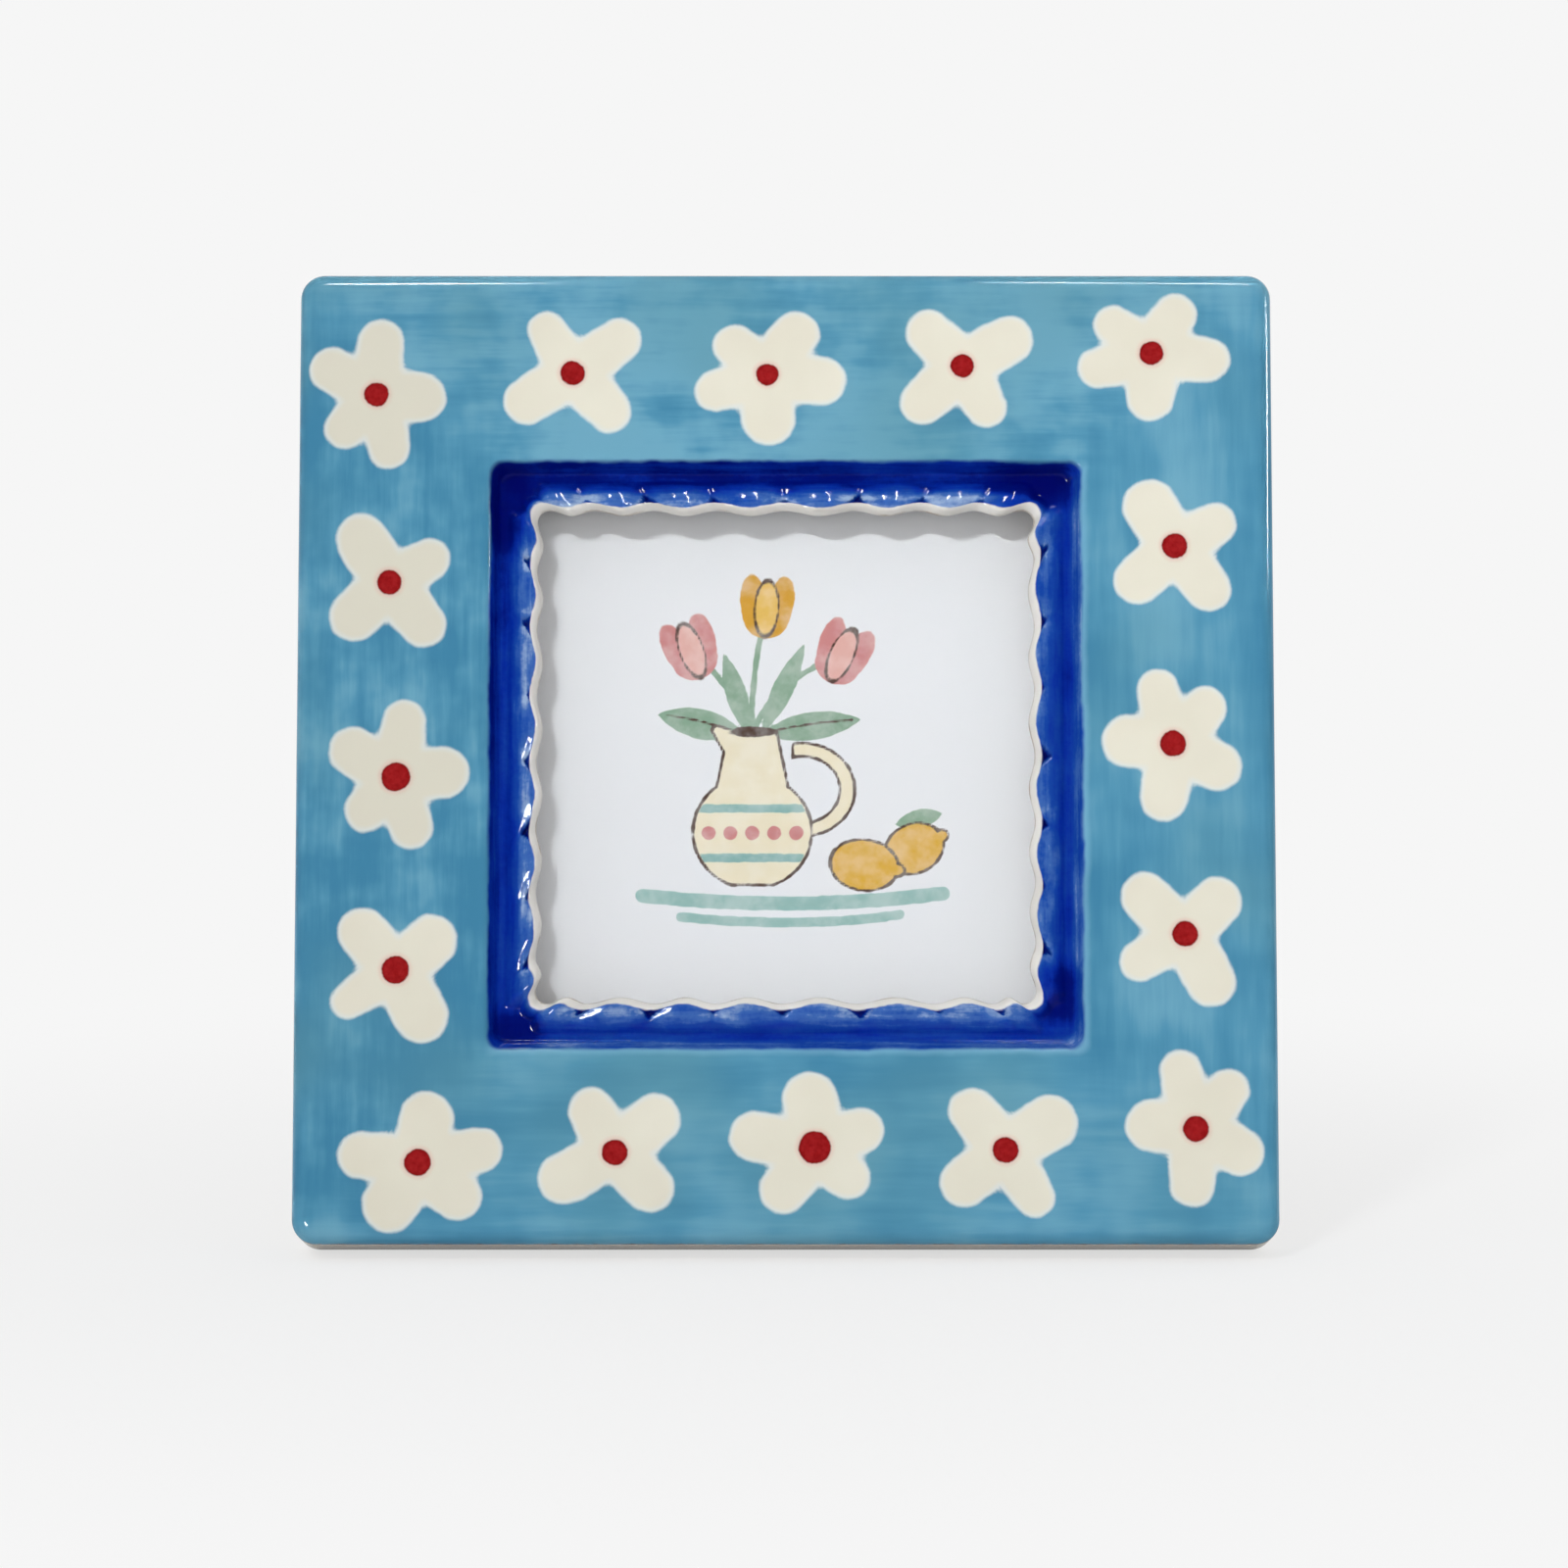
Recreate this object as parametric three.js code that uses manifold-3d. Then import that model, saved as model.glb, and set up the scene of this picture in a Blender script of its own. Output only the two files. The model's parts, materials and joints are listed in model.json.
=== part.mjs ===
// Square ceramic photo frame that stands on an easel strut. Millimetres, +Z up.
// It is modelled upright: back on y = 0, front towards -Y, lower edge on z = 0, middle on x = 0.
// It then leans back until its lower back edge and the foot of the strut stand on one table.
import * as THREE from "three";
import { mergeVertices } from "three/addons/utils/BufferGeometryUtils.js";
import Module from "manifold-3d";

// Ceramic frame
const FRAME_SIZE = 180;
const FRAME_DEPTH = 18;
const FRONT_EDGE_RADIUS = 3;
const FACE_CORNER = 1.5;
const BACK_EDGE_RADIUS = 1.5;

// Sunk band and scalloped lip round the window, the opening measured over the roots of the scallops
const LIP_OPENING = 91.6;
const LIP_CORNER = 2.2;
const LOBES_PER_SIDE = 8;
const SCALLOP_DEPTH = 1.1;
const LIP_SETBACK = 1.5;
const LIP_LAND = 1.3;
const LIP_FALL = 1.6;
const LIP_CREST = 0.3;
const LIP_DIP = 0.3;
const LOBE_STEP = 0.3;
const LOBE_SLOPE = 4;
const NOTCH_DROP = 1.8;
const BAND_WIDTH = 8.7;
const BAND_DEPTH = 4;
const BAND_WALL = 1.2;
const BAND_EDGE_RADIUS = 1;
const BAND_CORNER = 3.5;

// Pieces behind the window, from the glass to the board
const PRINT_SIZE = 102;
const PRINT_THICKNESS = 0.3;
const GLASS_MARGIN = 0.5;
const GLASS_THICKNESS = 2;
const CARD_THICKNESS = 1.5;
const BOARD_MARGIN = 0.9;
const BOARD_THICKNESS = 3;
const BOARD_INSET = 0.2;
const STACK_GAP = 0.2;
const REBATE_CLEARANCE = 0.6;
const REBATE_CORNER = 2;
const SHEET_CORNER = 1.5;

// Lean of the frame, and the angle between the open strut and the board
const LEAN = THREE.MathUtils.degToRad(14);
const STRUT_ANGLE = THREE.MathUtils.degToRad(26);

// Strut hinge
const HINGE_DROP = 16;
const HINGE_WIDTH = 30;
const LEAF_THICKNESS = 0.8;
const LEAF_REACH = 13.5;
const KNUCKLE_RADIUS = 2;
const KNUCKLE_MIDDLE = 11;
const KNUCKLE_GAP = 0.3;
const PIN_RADIUS = 1;
const PIN_CLEARANCE = 0.25;
const PIN_HEAD_RADIUS = 1.7;
const PIN_HEAD_LENGTH = 0.8;
const STOP_GAP = 0.3;
const SEAT_GAP = 0.2;

// Strut
const STRUT_THICKNESS = 2.5;
const STRUT_TOP_WIDTH = 34;
const STRUT_FOOT_WIDTH = 54;
const STRUT_TOP_CORNER = 5;
const STRUT_TOP_GAP = 1.2;

// Rivets
const RIVET_SPACING = 18;
const RIVET_REACH = 8.5;
const RIVET_RADIUS = 1.3;
const RIVET_CLEARANCE = 0.25;
const RIVET_HEAD_RADIUS = 2.6;
const RIVET_HEAD_HEIGHT = 0.9;

// Turn buttons with their screws and plugs
const BUTTON_RISE = 30;
const BUTTON_RADIUS = 4.5;
const BUTTON_OVERLAP = 6;
const BUTTON_THICKNESS = 0.9;
const BUTTON_RIDGE_RADIUS = 0.7;
const BUTTON_RIDGE_LENGTH = 6;
const SCREW_RADIUS = 1.5;
const SCREW_CLEARANCE = 0.25;
const SCREW_HEAD_RADIUS = 3.2;
const SCREW_HEAD_HEIGHT = 1.9;
const SCREW_LENGTH = 9;
const SCREW_TIP = 1.5;
const SCREW_SLOT_WIDTH = 0.8;
const SCREW_SLOT_LENGTH = 3.6;
const SCREW_SLOT_DEPTH = 1.1;
const PLUG_WALL = 1.4;
const PLUG_END = 1;
const PLUG_CLEARANCE = 0.25;
const PLUG_EDGE = 2.4;

// Fineness of the curves
const STEPS_PER_LOBE = 4;
const SCALLOP_CORNER_STEPS = 3;
const OUTLINE_CORNER_STEPS = 6;
const EDGE_STEPS = 4;
const SLOPE_STEPS = 3;
const DOME_STEPS = 3;
const ROUND_STEPS = 16;
const CUT_OVER = 1;
const WELD = 1e-5;

const RIGHT_ANGLE = Math.PI / 2;
const MIDDLE = FRAME_SIZE / 2;

const kit = await Module();
kit.setup();

// Makes a closed geometry into a solid that can be cut and joined.
function solidOf(geometry) {
  const bare = geometry.clone();
  bare.deleteAttribute("normal");
  bare.deleteAttribute("uv");
  const welded = mergeVertices(bare, WELD);
  return new kit.Manifold(new kit.Mesh({
    numProp: 3,
    vertProperties: welded.attributes.position.array,
    triVerts: new Uint32Array(welded.index.array),
  }));
}

// Makes a solid into a geometry for a mesh.
function geometryOf(solid) {
  const { vertProperties, triVerts } = solid.getMesh();
  const geometry = new THREE.BufferGeometry();
  geometry.setAttribute("position", new THREE.BufferAttribute(vertProperties, 3));
  geometry.setIndex(new THREE.BufferAttribute(triVerts, 1));
  geometry.computeVertexNormals();
  return geometry;
}

function join(...geometries) {
  const solids = geometries.map(solidOf);
  return geometryOf(solids.reduce((sum, next) => sum.add(next)));
}

function cut(geometry, ...tools) {
  const solids = tools.map(solidOf);
  return geometryOf(solids.reduce((rest, tool) => rest.subtract(tool), solidOf(geometry)));
}

// A box between two opposite corners.
function block(x0, x1, y0, y1, z0, z1) {
  const box = new THREE.BoxGeometry(x1 - x0, y1 - y0, z1 - z0);
  return box.translate((x0 + x1) / 2, (y0 + y1) / 2, (z0 + z1) / 2);
}

// A rod along Y, from the front end to the back end.
function rodY(radius, front, back, x, z) {
  const rod = new THREE.CylinderGeometry(radius, radius, back - front, ROUND_STEPS);
  return rod.translate(x, (front + back) / 2, z);
}

// A rod along X through the origin of its group.
function rodX(radius, left, right) {
  const rod = new THREE.CylinderGeometry(radius, radius, right - left, ROUND_STEPS);
  return rod.rotateZ(RIGHT_ANGLE).translate((left + right) / 2, 0, 0);
}

// A turned solid along Y, its profile given as [radius, y] from the back end to the front end.
function turned(profile) {
  const points = profile.map(([radius, y]) => new THREE.Vector2(radius, y));
  return new THREE.LatheGeometry(points.reverse(), ROUND_STEPS);
}

// Profile of a domed head for a turned solid, from its crown to its rim on the seat.
function dome(radius, height, seat) {
  const profile = [[0, seat + height]];
  for (let step = 1; step <= DOME_STEPS; step++) {
    const turn = RIGHT_ANGLE * step / DOME_STEPS;
    profile.push([radius * Math.sin(turn), seat + height * Math.cos(turn)]);
  }
  return profile;
}

// How far a point of a side lies into its lobe: 0 at the roots of the scallops, 1 at their crests.
function lobeAt(share) {
  return Math.abs(Math.sin(Math.PI * LOBES_PER_SIDE * share));
}

// A rounded square outline, counter-clockwise seen from the front. A scallop moves the crests of its
// lobes towards the middle, and a drop sinks its roots.
function squareRing({ half, corner, depth, scallop = 0, drop = 0 }, sideSteps, cornerSteps) {
  const straight = half - corner;
  const side = [];
  for (let step = 0; step <= sideSteps; step++) {
    const lobe = lobeAt(step / sideSteps);
    const along = straight * (2 * step / sideSteps - 1);
    side.push(new THREE.Vector3(along, drop * (1 - lobe) - depth, scallop * lobe - half));
  }
  for (let step = 1; step < cornerSteps; step++) {
    const turn = RIGHT_ANGLE * (step / cornerSteps - 1);
    const across = straight + corner * Math.cos(turn);
    side.push(new THREE.Vector3(across, drop - depth, corner * Math.sin(turn) - straight));
  }
  const ring = [];
  for (let quarter = 0; quarter < 4; quarter++) {
    for (const point of side) {
      const cos = Math.cos(quarter * RIGHT_ANGLE);
      const sin = Math.sin(quarter * RIGHT_ANGLE);
      const x = point.x * cos - point.z * sin;
      const z = point.x * sin + point.z * cos;
      ring.push(new THREE.Vector3(x, point.y, z + MIDDLE));
    }
  }
  return ring;
}

// A solid through outlines of equal length from front to back, closed at both ends.
function loft(rings) {
  const count = rings[0].length;
  const index = [];
  for (let ring = 0; ring + 1 < rings.length; ring++) {
    for (let step = 0; step < count; step++) {
      const near = ring * count + step;
      const next = ring * count + (step + 1) % count;
      index.push(near, next + count, next, near, near + count, next + count);
    }
  }
  const outline = (ring) => ring.map((point) => new THREE.Vector2(point.x, point.z));
  const last = count * (rings.length - 1);
  for (const [a, b, c] of THREE.ShapeUtils.triangulateShape(outline(rings[0]), [])) {
    index.push(a, b, c);
  }
  for (const [a, b, c] of THREE.ShapeUtils.triangulateShape(outline(rings.at(-1)), [])) {
    index.push(last + a, last + c, last + b);
  }
  const geometry = new THREE.BufferGeometry();
  geometry.setFromPoints(rings.flat());
  geometry.setIndex(index);
  return geometry;
}

// A square sheet with rounded corners, lying behind the window.
function sheet(size, depthBack, thickness, corner) {
  const outline = { half: size / 2, corner };
  return loft([depthBack + thickness, depthBack].map((depth) =>
    squareRing({ ...outline, depth }, 1, OUTLINE_CORNER_STEPS)));
}

// Depths from the back plane of the stack in the rebate
const boardDepth = BOARD_INSET;
const cardDepth = boardDepth + BOARD_THICKNESS + STACK_GAP;
const printDepth = cardDepth + CARD_THICKNESS + STACK_GAP;
const glassDepth = printDepth + PRINT_THICKNESS + STACK_GAP;
const rebateDepth = glassDepth + GLASS_THICKNESS + STACK_GAP;
const glassSize = PRINT_SIZE + 2 * GLASS_MARGIN;
const boardSize = PRINT_SIZE + 2 * BOARD_MARGIN;
const rebateSize = Math.max(glassSize, boardSize) + 2 * REBATE_CLEARANCE;

// Places of the turn buttons' pivots
const plugRadius = SCREW_RADIUS + SCREW_CLEARANCE + PLUG_WALL;
const plugHoleRadius = plugRadius + PLUG_CLEARANCE;
const pivotX = rebateSize / 2 + PLUG_EDGE + plugHoleRadius;
const plugLength = SCREW_LENGTH + SCREW_CLEARANCE + PLUG_END;
const corners = [
  ["upper_left", -1, 1],
  ["upper_right", 1, 1],
  ["lower_left", -1, -1],
  ["lower_right", 1, -1],
].map(([name, sideX, sideZ]) => ({ name, side: sideX, x: sideX * pivotX, z: MIDDLE + sideZ * BUTTON_RISE }));

// Ceramic frame: an edge-rounded slab less the window, the rebate and the holes of the plugs
function frameSlab() {
  const rings = [];
  const half = FRAME_SIZE / 2;
  const outlineCorner = FACE_CORNER + FRONT_EDGE_RADIUS;
  const ringAt = (inset, depth) => rings.push(squareRing(
    { half: half - inset, corner: outlineCorner - inset, depth }, 1, OUTLINE_CORNER_STEPS));
  for (let step = 0; step <= EDGE_STEPS; step++) {
    const turn = RIGHT_ANGLE * step / EDGE_STEPS;
    const inset = FRONT_EDGE_RADIUS * (1 - Math.sin(turn));
    ringAt(inset, FRAME_DEPTH - FRONT_EDGE_RADIUS * (1 - Math.cos(turn)));
  }
  for (let step = 0; step <= EDGE_STEPS; step++) {
    const turn = RIGHT_ANGLE * step / EDGE_STEPS;
    const inset = BACK_EDGE_RADIUS * (1 - Math.cos(turn));
    ringAt(inset, BACK_EDGE_RADIUS * (1 - Math.sin(turn)));
  }
  return loft(rings);
}

// The space in front of the band and the lip, and on through the window to the back
function windowTool() {
  const lip = LIP_OPENING / 2;
  const wall = lip + BAND_WIDTH;
  const valley = FRAME_DEPTH - BAND_DEPTH;
  const crest = FRAME_DEPTH - LIP_SETBACK;
  const lobe = lip + LIP_LAND;
  const lobeRise = BAND_DEPTH - LIP_SETBACK - LOBE_STEP;
  const scalloped = { scallop: SCALLOP_DEPTH, drop: LIP_DIP };
  const profile = [{ half: wall + BAND_EDGE_RADIUS, depth: FRAME_DEPTH + CUT_OVER }];
  for (let step = 0; step <= EDGE_STEPS; step++) {
    const turn = RIGHT_ANGLE * step / EDGE_STEPS;
    const half = wall + BAND_EDGE_RADIUS * (1 - Math.sin(turn));
    profile.push({ half, depth: FRAME_DEPTH - BAND_EDGE_RADIUS * (1 - Math.cos(turn)) });
  }
  profile.push({ half: wall - BAND_WALL / 2, depth: valley + BAND_EDGE_RADIUS / 2 });
  profile.push({ half: wall - BAND_WALL, depth: valley });
  for (let step = 0; step <= SLOPE_STEPS; step++) {
    const rise = step / SLOPE_STEPS;
    profile.push({
      half: lobe + LOBE_SLOPE * (1 - rise),
      depth: valley + lobeRise * Math.sin(RIGHT_ANGLE * rise),
      scallop: SCALLOP_DEPTH * rise,
      drop: NOTCH_DROP * rise ** 2,
    });
  }
  profile.push({ half: lobe - LIP_CREST, depth: crest, ...scalloped });
  profile.push({ half: lip, depth: crest - LIP_FALL, ...scalloped });
  profile.push({ half: lip, depth: -CUT_OVER, scallop: SCALLOP_DEPTH });
  const sideSteps = LOBES_PER_SIDE * STEPS_PER_LOBE;
  const cornerAt = (half) => LIP_CORNER + (BAND_CORNER - LIP_CORNER) * (half - lip) / BAND_WIDTH;
  return loft(profile.map((part) => squareRing(
    { ...part, corner: cornerAt(part.half) }, sideSteps, SCALLOP_CORNER_STEPS)));
}

const rebateTool = sheet(rebateSize, -CUT_OVER, rebateDepth + CUT_OVER, REBATE_CORNER);
const plugHoles = corners.map(({ x, z }) =>
  rodY(plugHoleRadius, -(plugLength + PLUG_CLEARANCE), CUT_OVER, x, z));
const ceramicGeometry = cut(frameSlab(), windowTool(), rebateTool, ...plugHoles);

// Hinge: pin axis on the back of the board, one leaf on the board and one on the strut
const boardBack = -BOARD_INSET;
const pinY = boardBack + SEAT_GAP + KNUCKLE_RADIUS;
const pinZ = MIDDLE + boardSize / 2 - HINGE_DROP;
const boreRadius = PIN_RADIUS + PIN_CLEARANCE;
const rivetHoleRadius = RIVET_RADIUS + RIVET_CLEARANCE;
const rivetXs = [["left", -RIVET_SPACING / 2], ["right", RIVET_SPACING / 2]];
const halfHinge = HINGE_WIDTH / 2;
const halfMiddle = KNUCKLE_MIDDLE / 2;
const knuckleReach = KNUCKLE_RADIUS + KNUCKLE_GAP;

// The stop tab stands this far above the pin, so that it meets the board's leaf when the strut is open.
const leafFace = KNUCKLE_RADIUS - LEAF_THICKNESS;
const stopReach = (leafFace * Math.cos(STRUT_ANGLE) + leafFace - STOP_GAP) / Math.sin(STRUT_ANGLE);

// Board's leaf, about the pin: a plate upwards with two outer knuckles
function boardLeaf() {
  const notch = halfMiddle + KNUCKLE_GAP;
  const plate = block(-halfHinge, halfHinge, -KNUCKLE_RADIUS, -leafFace, 0, LEAF_REACH);
  const knuckles = rodX(KNUCKLE_RADIUS, -halfHinge, halfHinge);
  const gap = block(-notch, notch, -knuckleReach, knuckleReach, -knuckleReach, knuckleReach);
  const bore = rodX(boreRadius, -HINGE_WIDTH, HINGE_WIDTH);
  const holes = rivetXs.map(([, x]) =>
    rodY(rivetHoleRadius, -KNUCKLE_RADIUS - CUT_OVER, -leafFace + CUT_OVER, x, RIVET_REACH));
  return cut(join(plate, knuckles), gap, bore, ...holes);
}

// Strut's leaf, about the pin with the strut folded: a plate downwards, the middle knuckle and the stop
function strutLeaf() {
  const plate = block(-halfHinge, halfHinge, leafFace, KNUCKLE_RADIUS, -LEAF_REACH, -knuckleReach);
  const tab = block(-halfMiddle, halfMiddle, leafFace, KNUCKLE_RADIUS, -LEAF_REACH, stopReach);
  const knuckle = rodX(KNUCKLE_RADIUS, -halfMiddle, halfMiddle);
  const bore = rodX(boreRadius, -HINGE_WIDTH, HINGE_WIDTH);
  const holes = rivetXs.map(([, x]) =>
    rodY(rivetHoleRadius, leafFace - CUT_OVER, KNUCKLE_RADIUS + CUT_OVER, x, -RIVET_REACH));
  return cut(join(plate, tab, knuckle), bore, ...holes);
}

function hingePin() {
  const inner = halfHinge + PIN_CLEARANCE;
  const outer = inner + PIN_HEAD_LENGTH;
  const pin = turned([
    [0, outer],
    [PIN_HEAD_RADIUS, outer],
    [PIN_HEAD_RADIUS, inner],
    [PIN_RADIUS, inner],
    [PIN_RADIUS, -inner],
    [PIN_HEAD_RADIUS, -inner],
    [PIN_HEAD_RADIUS, -outer],
    [0, -outer],
  ]);
  return pin.rotateZ(RIGHT_ANGLE);
}

// A rivet with a domed head behind the leaf, its seat on y = 0 and its shank towards -Y
function rivet(shank) {
  return turned([
    ...dome(RIVET_HEAD_RADIUS, RIVET_HEAD_HEIGHT, 0),
    [RIVET_RADIUS, 0],
    [RIVET_RADIUS, -shank],
    [0, -shank],
  ]);
}

// Lowest point of the leaning ceramic: the table, as a height in the leaning frame
function tableHeight(geometry) {
  const points = geometry.attributes.position;
  let lowest = Infinity;
  for (let i = 0; i < points.count; i++) {
    lowest = Math.min(lowest, points.getZ(i) * Math.cos(LEAN) - points.getY(i) * Math.sin(LEAN));
  }
  return lowest;
}

// Strut about the pin, folded: a tapered plate, its foot cut along the table
const strutBack = leafFace - SEAT_GAP;
const strutFront = strutBack - STRUT_THICKNESS;
const strutTop = -(knuckleReach + STRUT_TOP_GAP);
const footTilt = STRUT_ANGLE - LEAN;
const pinHeight = pinZ * Math.cos(LEAN) - pinY * Math.sin(LEAN) - tableHeight(ceramicGeometry);
const strutReach = pinHeight / Math.cos(footTilt);

function strutLeg() {
  const halfTop = STRUT_TOP_WIDTH / 2;
  const halfFoot = STRUT_FOOT_WIDTH / 2;
  const below = -strutReach - STRUT_THICKNESS;
  const outline = new THREE.Shape();
  outline.moveTo(-halfFoot, below);
  outline.lineTo(halfFoot, below);
  outline.lineTo(halfTop, strutTop - STRUT_TOP_CORNER);
  outline.quadraticCurveTo(halfTop, strutTop, halfTop - STRUT_TOP_CORNER, strutTop);
  outline.lineTo(STRUT_TOP_CORNER - halfTop, strutTop);
  outline.quadraticCurveTo(-halfTop, strutTop, -halfTop, strutTop - STRUT_TOP_CORNER);
  const flat = { depth: STRUT_THICKNESS, bevelEnabled: false, curveSegments: OUTLINE_CORNER_STEPS };
  const plate = new THREE.ExtrudeGeometry(outline, flat).rotateX(RIGHT_ANGLE).translate(0, strutBack, 0);
  const table = block(-STRUT_FOOT_WIDTH, STRUT_FOOT_WIDTH, -strutReach, strutReach, -strutReach, 0);
  table.translate(0, 0, -pinHeight).rotateX(-footTilt);
  const holes = rivetXs.map(([, x]) =>
    rodY(rivetHoleRadius, strutFront - CUT_OVER, strutBack + CUT_OVER, x, -RIVET_REACH));
  return cut(plate, table, ...holes);
}

// Turn button about its pivot on the back plane, pointing towards +X, with a ridge for the thumb
function turnButton() {
  const reach = pivotX - rebateSize / 2 + REBATE_CLEARANCE + BUTTON_OVERLAP - BUTTON_RADIUS;
  const outline = new THREE.Shape();
  outline.absarc(reach, 0, BUTTON_RADIUS, -RIGHT_ANGLE, RIGHT_ANGLE);
  outline.absarc(0, 0, BUTTON_RADIUS, RIGHT_ANGLE, 3 * RIGHT_ANGLE);
  const hole = new THREE.Path();
  hole.absarc(0, 0, SCREW_RADIUS + SCREW_CLEARANCE, 0, 4 * RIGHT_ANGLE);
  outline.holes.push(hole);
  const flat = { depth: BUTTON_THICKNESS, bevelEnabled: false, curveSegments: ROUND_STEPS / 2 };
  const plate = new THREE.ExtrudeGeometry(outline, flat);
  const back = SEAT_GAP + BUTTON_THICKNESS;
  plate.rotateX(RIGHT_ANGLE).translate(0, back, 0);
  const ridge = new THREE.CapsuleGeometry(
    BUTTON_RIDGE_RADIUS, BUTTON_RIDGE_LENGTH, EDGE_STEPS, ROUND_STEPS / 2);
  ridge.rotateX(RIGHT_ANGLE).translate(reach, back, 0);
  return join(plate, ridge);
}

// Screw about its pivot on the back plane, with a cross in its pan head
function buttonScrew() {
  const seat = SEAT_GAP + BUTTON_THICKNESS + SEAT_GAP;
  const top = seat + SCREW_HEAD_HEIGHT;
  const body = turned([
    ...dome(SCREW_HEAD_RADIUS, SCREW_HEAD_HEIGHT, seat),
    [SCREW_RADIUS, seat],
    [SCREW_RADIUS, SCREW_TIP - SCREW_LENGTH],
    [0, -SCREW_LENGTH],
  ]);
  const long = SCREW_SLOT_LENGTH / 2;
  const wide = SCREW_SLOT_WIDTH / 2;
  const floor = top - SCREW_SLOT_DEPTH;
  const slotX = block(-long, long, floor, top + CUT_OVER, -wide, wide);
  const slotZ = block(-wide, wide, floor, top + CUT_OVER, -long, long);
  return cut(body, join(slotX, slotZ));
}

// Plug in the ceramic, its mouth on the back plane
function screwPlug() {
  const bore = SCREW_RADIUS + SCREW_CLEARANCE;
  return turned([
    [0, PLUG_END - plugLength],
    [bore, PLUG_END - plugLength],
    [bore, 0],
    [plugRadius, 0],
    [plugRadius, -plugLength],
    [0, -plugLength],
  ]);
}

function finish(color, roughness, metalness = 0) {
  return new THREE.MeshStandardMaterial({ color, roughness, metalness });
}

function piece(parent, name, geometry, material) {
  const mesh = new THREE.Mesh(geometry, material);
  mesh.name = name;
  parent.add(mesh);
  return mesh;
}

const GLAZE = ["#5c97b1", 0.25];
const PAPER = ["#e4e5e6", 0.8];
const GREY_CARD = ["#a39884", 0.9];
const FLOCK = ["#23242a", 0.95];
const BRASSED_STEEL = ["#b8995a", 0.35, 1];
const ZINC = ["#b4b6b9", 0.4, 1];
const NYLON = ["#d9d4c6", 0.6];

const leaning = new THREE.Group();
leaning.name = "leaning";
leaning.rotation.x = -LEAN;

piece(leaning, "ceramic_frame", ceramicGeometry, finish(...GLAZE));
const glass = finish("#f2f6f6", 0.05);
glass.transparent = true;
glass.opacity = 0.2;
piece(leaning, "glass_pane", sheet(glassSize, glassDepth, GLASS_THICKNESS, SHEET_CORNER), glass);
const print = sheet(PRINT_SIZE, printDepth, PRINT_THICKNESS, SHEET_CORNER);
piece(leaning, "picture_print", print, finish(...PAPER));
const card = sheet(PRINT_SIZE, cardDepth, CARD_THICKNESS, SHEET_CORNER);
piece(leaning, "filler_card", card, finish(...GREY_CARD));
const boardHoles = rivetXs.map(([, x]) =>
  rodY(rivetHoleRadius, boardBack - BOARD_THICKNESS - CUT_OVER, CUT_OVER, x, pinZ + RIVET_REACH));
const board = cut(sheet(boardSize, boardDepth, BOARD_THICKNESS, SHEET_CORNER), ...boardHoles);
piece(leaning, "backing_board", board, finish(...FLOCK));

const hinge = new THREE.Group();
hinge.name = "hinge";
hinge.position.set(0, pinY, pinZ);
leaning.add(hinge);
piece(hinge, "hinge_board_leaf", boardLeaf(), finish(...BRASSED_STEEL));
piece(hinge, "hinge_pin", hingePin(), finish(...BRASSED_STEEL));

const strut = new THREE.Group();
strut.name = "strut";
strut.rotation.x = STRUT_ANGLE;
hinge.add(strut);
piece(strut, "strut_leg", strutLeg(), finish(...FLOCK));
piece(strut, "hinge_strut_leaf", strutLeaf(), finish(...BRASSED_STEEL));

const boardShank = LEAF_THICKNESS + 2 * SEAT_GAP + BOARD_THICKNESS;
const strutShank = LEAF_THICKNESS + 2 * SEAT_GAP + STRUT_THICKNESS;
for (const [side, x] of rivetXs) {
  const onBoard = piece(hinge, `board_rivet_${side}`, rivet(boardShank), finish(...BRASSED_STEEL));
  onBoard.position.set(x, SEAT_GAP - leafFace, RIVET_REACH);
  const onStrut = piece(strut, `strut_rivet_${side}`, rivet(strutShank), finish(...BRASSED_STEEL));
  onStrut.position.set(x, KNUCKLE_RADIUS + SEAT_GAP, -RIVET_REACH);
}

for (const { name, side, x, z } of corners) {
  const button = piece(leaning, `turn_button_${name}`, turnButton(), finish(...ZINC));
  button.rotation.y = side > 0 ? Math.PI : 0;
  const screw = piece(leaning, `button_screw_${name}`, buttonScrew(), finish(...ZINC));
  const plug = piece(leaning, `screw_plug_${name}`, screwPlug(), finish(...NYLON));
  for (const part of [button, screw, plug]) {
    part.position.set(x, 0, z);
  }
}

// The finished object stands on z = 0 over the origin.
const photoFrame = new THREE.Group();
photoFrame.name = "photo_frame";
photoFrame.add(leaning);
photoFrame.updateMatrixWorld(true);
const bounds = new THREE.Box3().setFromObject(photoFrame, true);
leaning.position.y = -(bounds.min.y + bounds.max.y) / 2;
leaning.position.z = -bounds.min.z;

export default photoFrame;
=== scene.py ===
"""Looks of a hand-painted square ceramic photo frame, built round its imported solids.

Lengths are millimetres, and MM turns them into Blender's metres. They follow the frame's own upright
axes: x runs to the right, y to the back from the frame's back plane, z up from its lower edge. A depth
is measured forwards from the back plane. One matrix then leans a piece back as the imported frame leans.
"""

import json
import math
from types import SimpleNamespace

import bpy
import numpy as np
from mathutils import Matrix, Vector


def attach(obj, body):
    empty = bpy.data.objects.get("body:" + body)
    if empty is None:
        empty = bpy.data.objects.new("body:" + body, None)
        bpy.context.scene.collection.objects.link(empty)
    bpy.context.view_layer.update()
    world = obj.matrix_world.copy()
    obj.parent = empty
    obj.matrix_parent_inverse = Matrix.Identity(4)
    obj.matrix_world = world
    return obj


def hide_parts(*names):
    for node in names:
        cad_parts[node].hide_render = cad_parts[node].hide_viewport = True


MM = 0.001
# Distance given to points that a paint doesn't reach
FAR = 40.0

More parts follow.
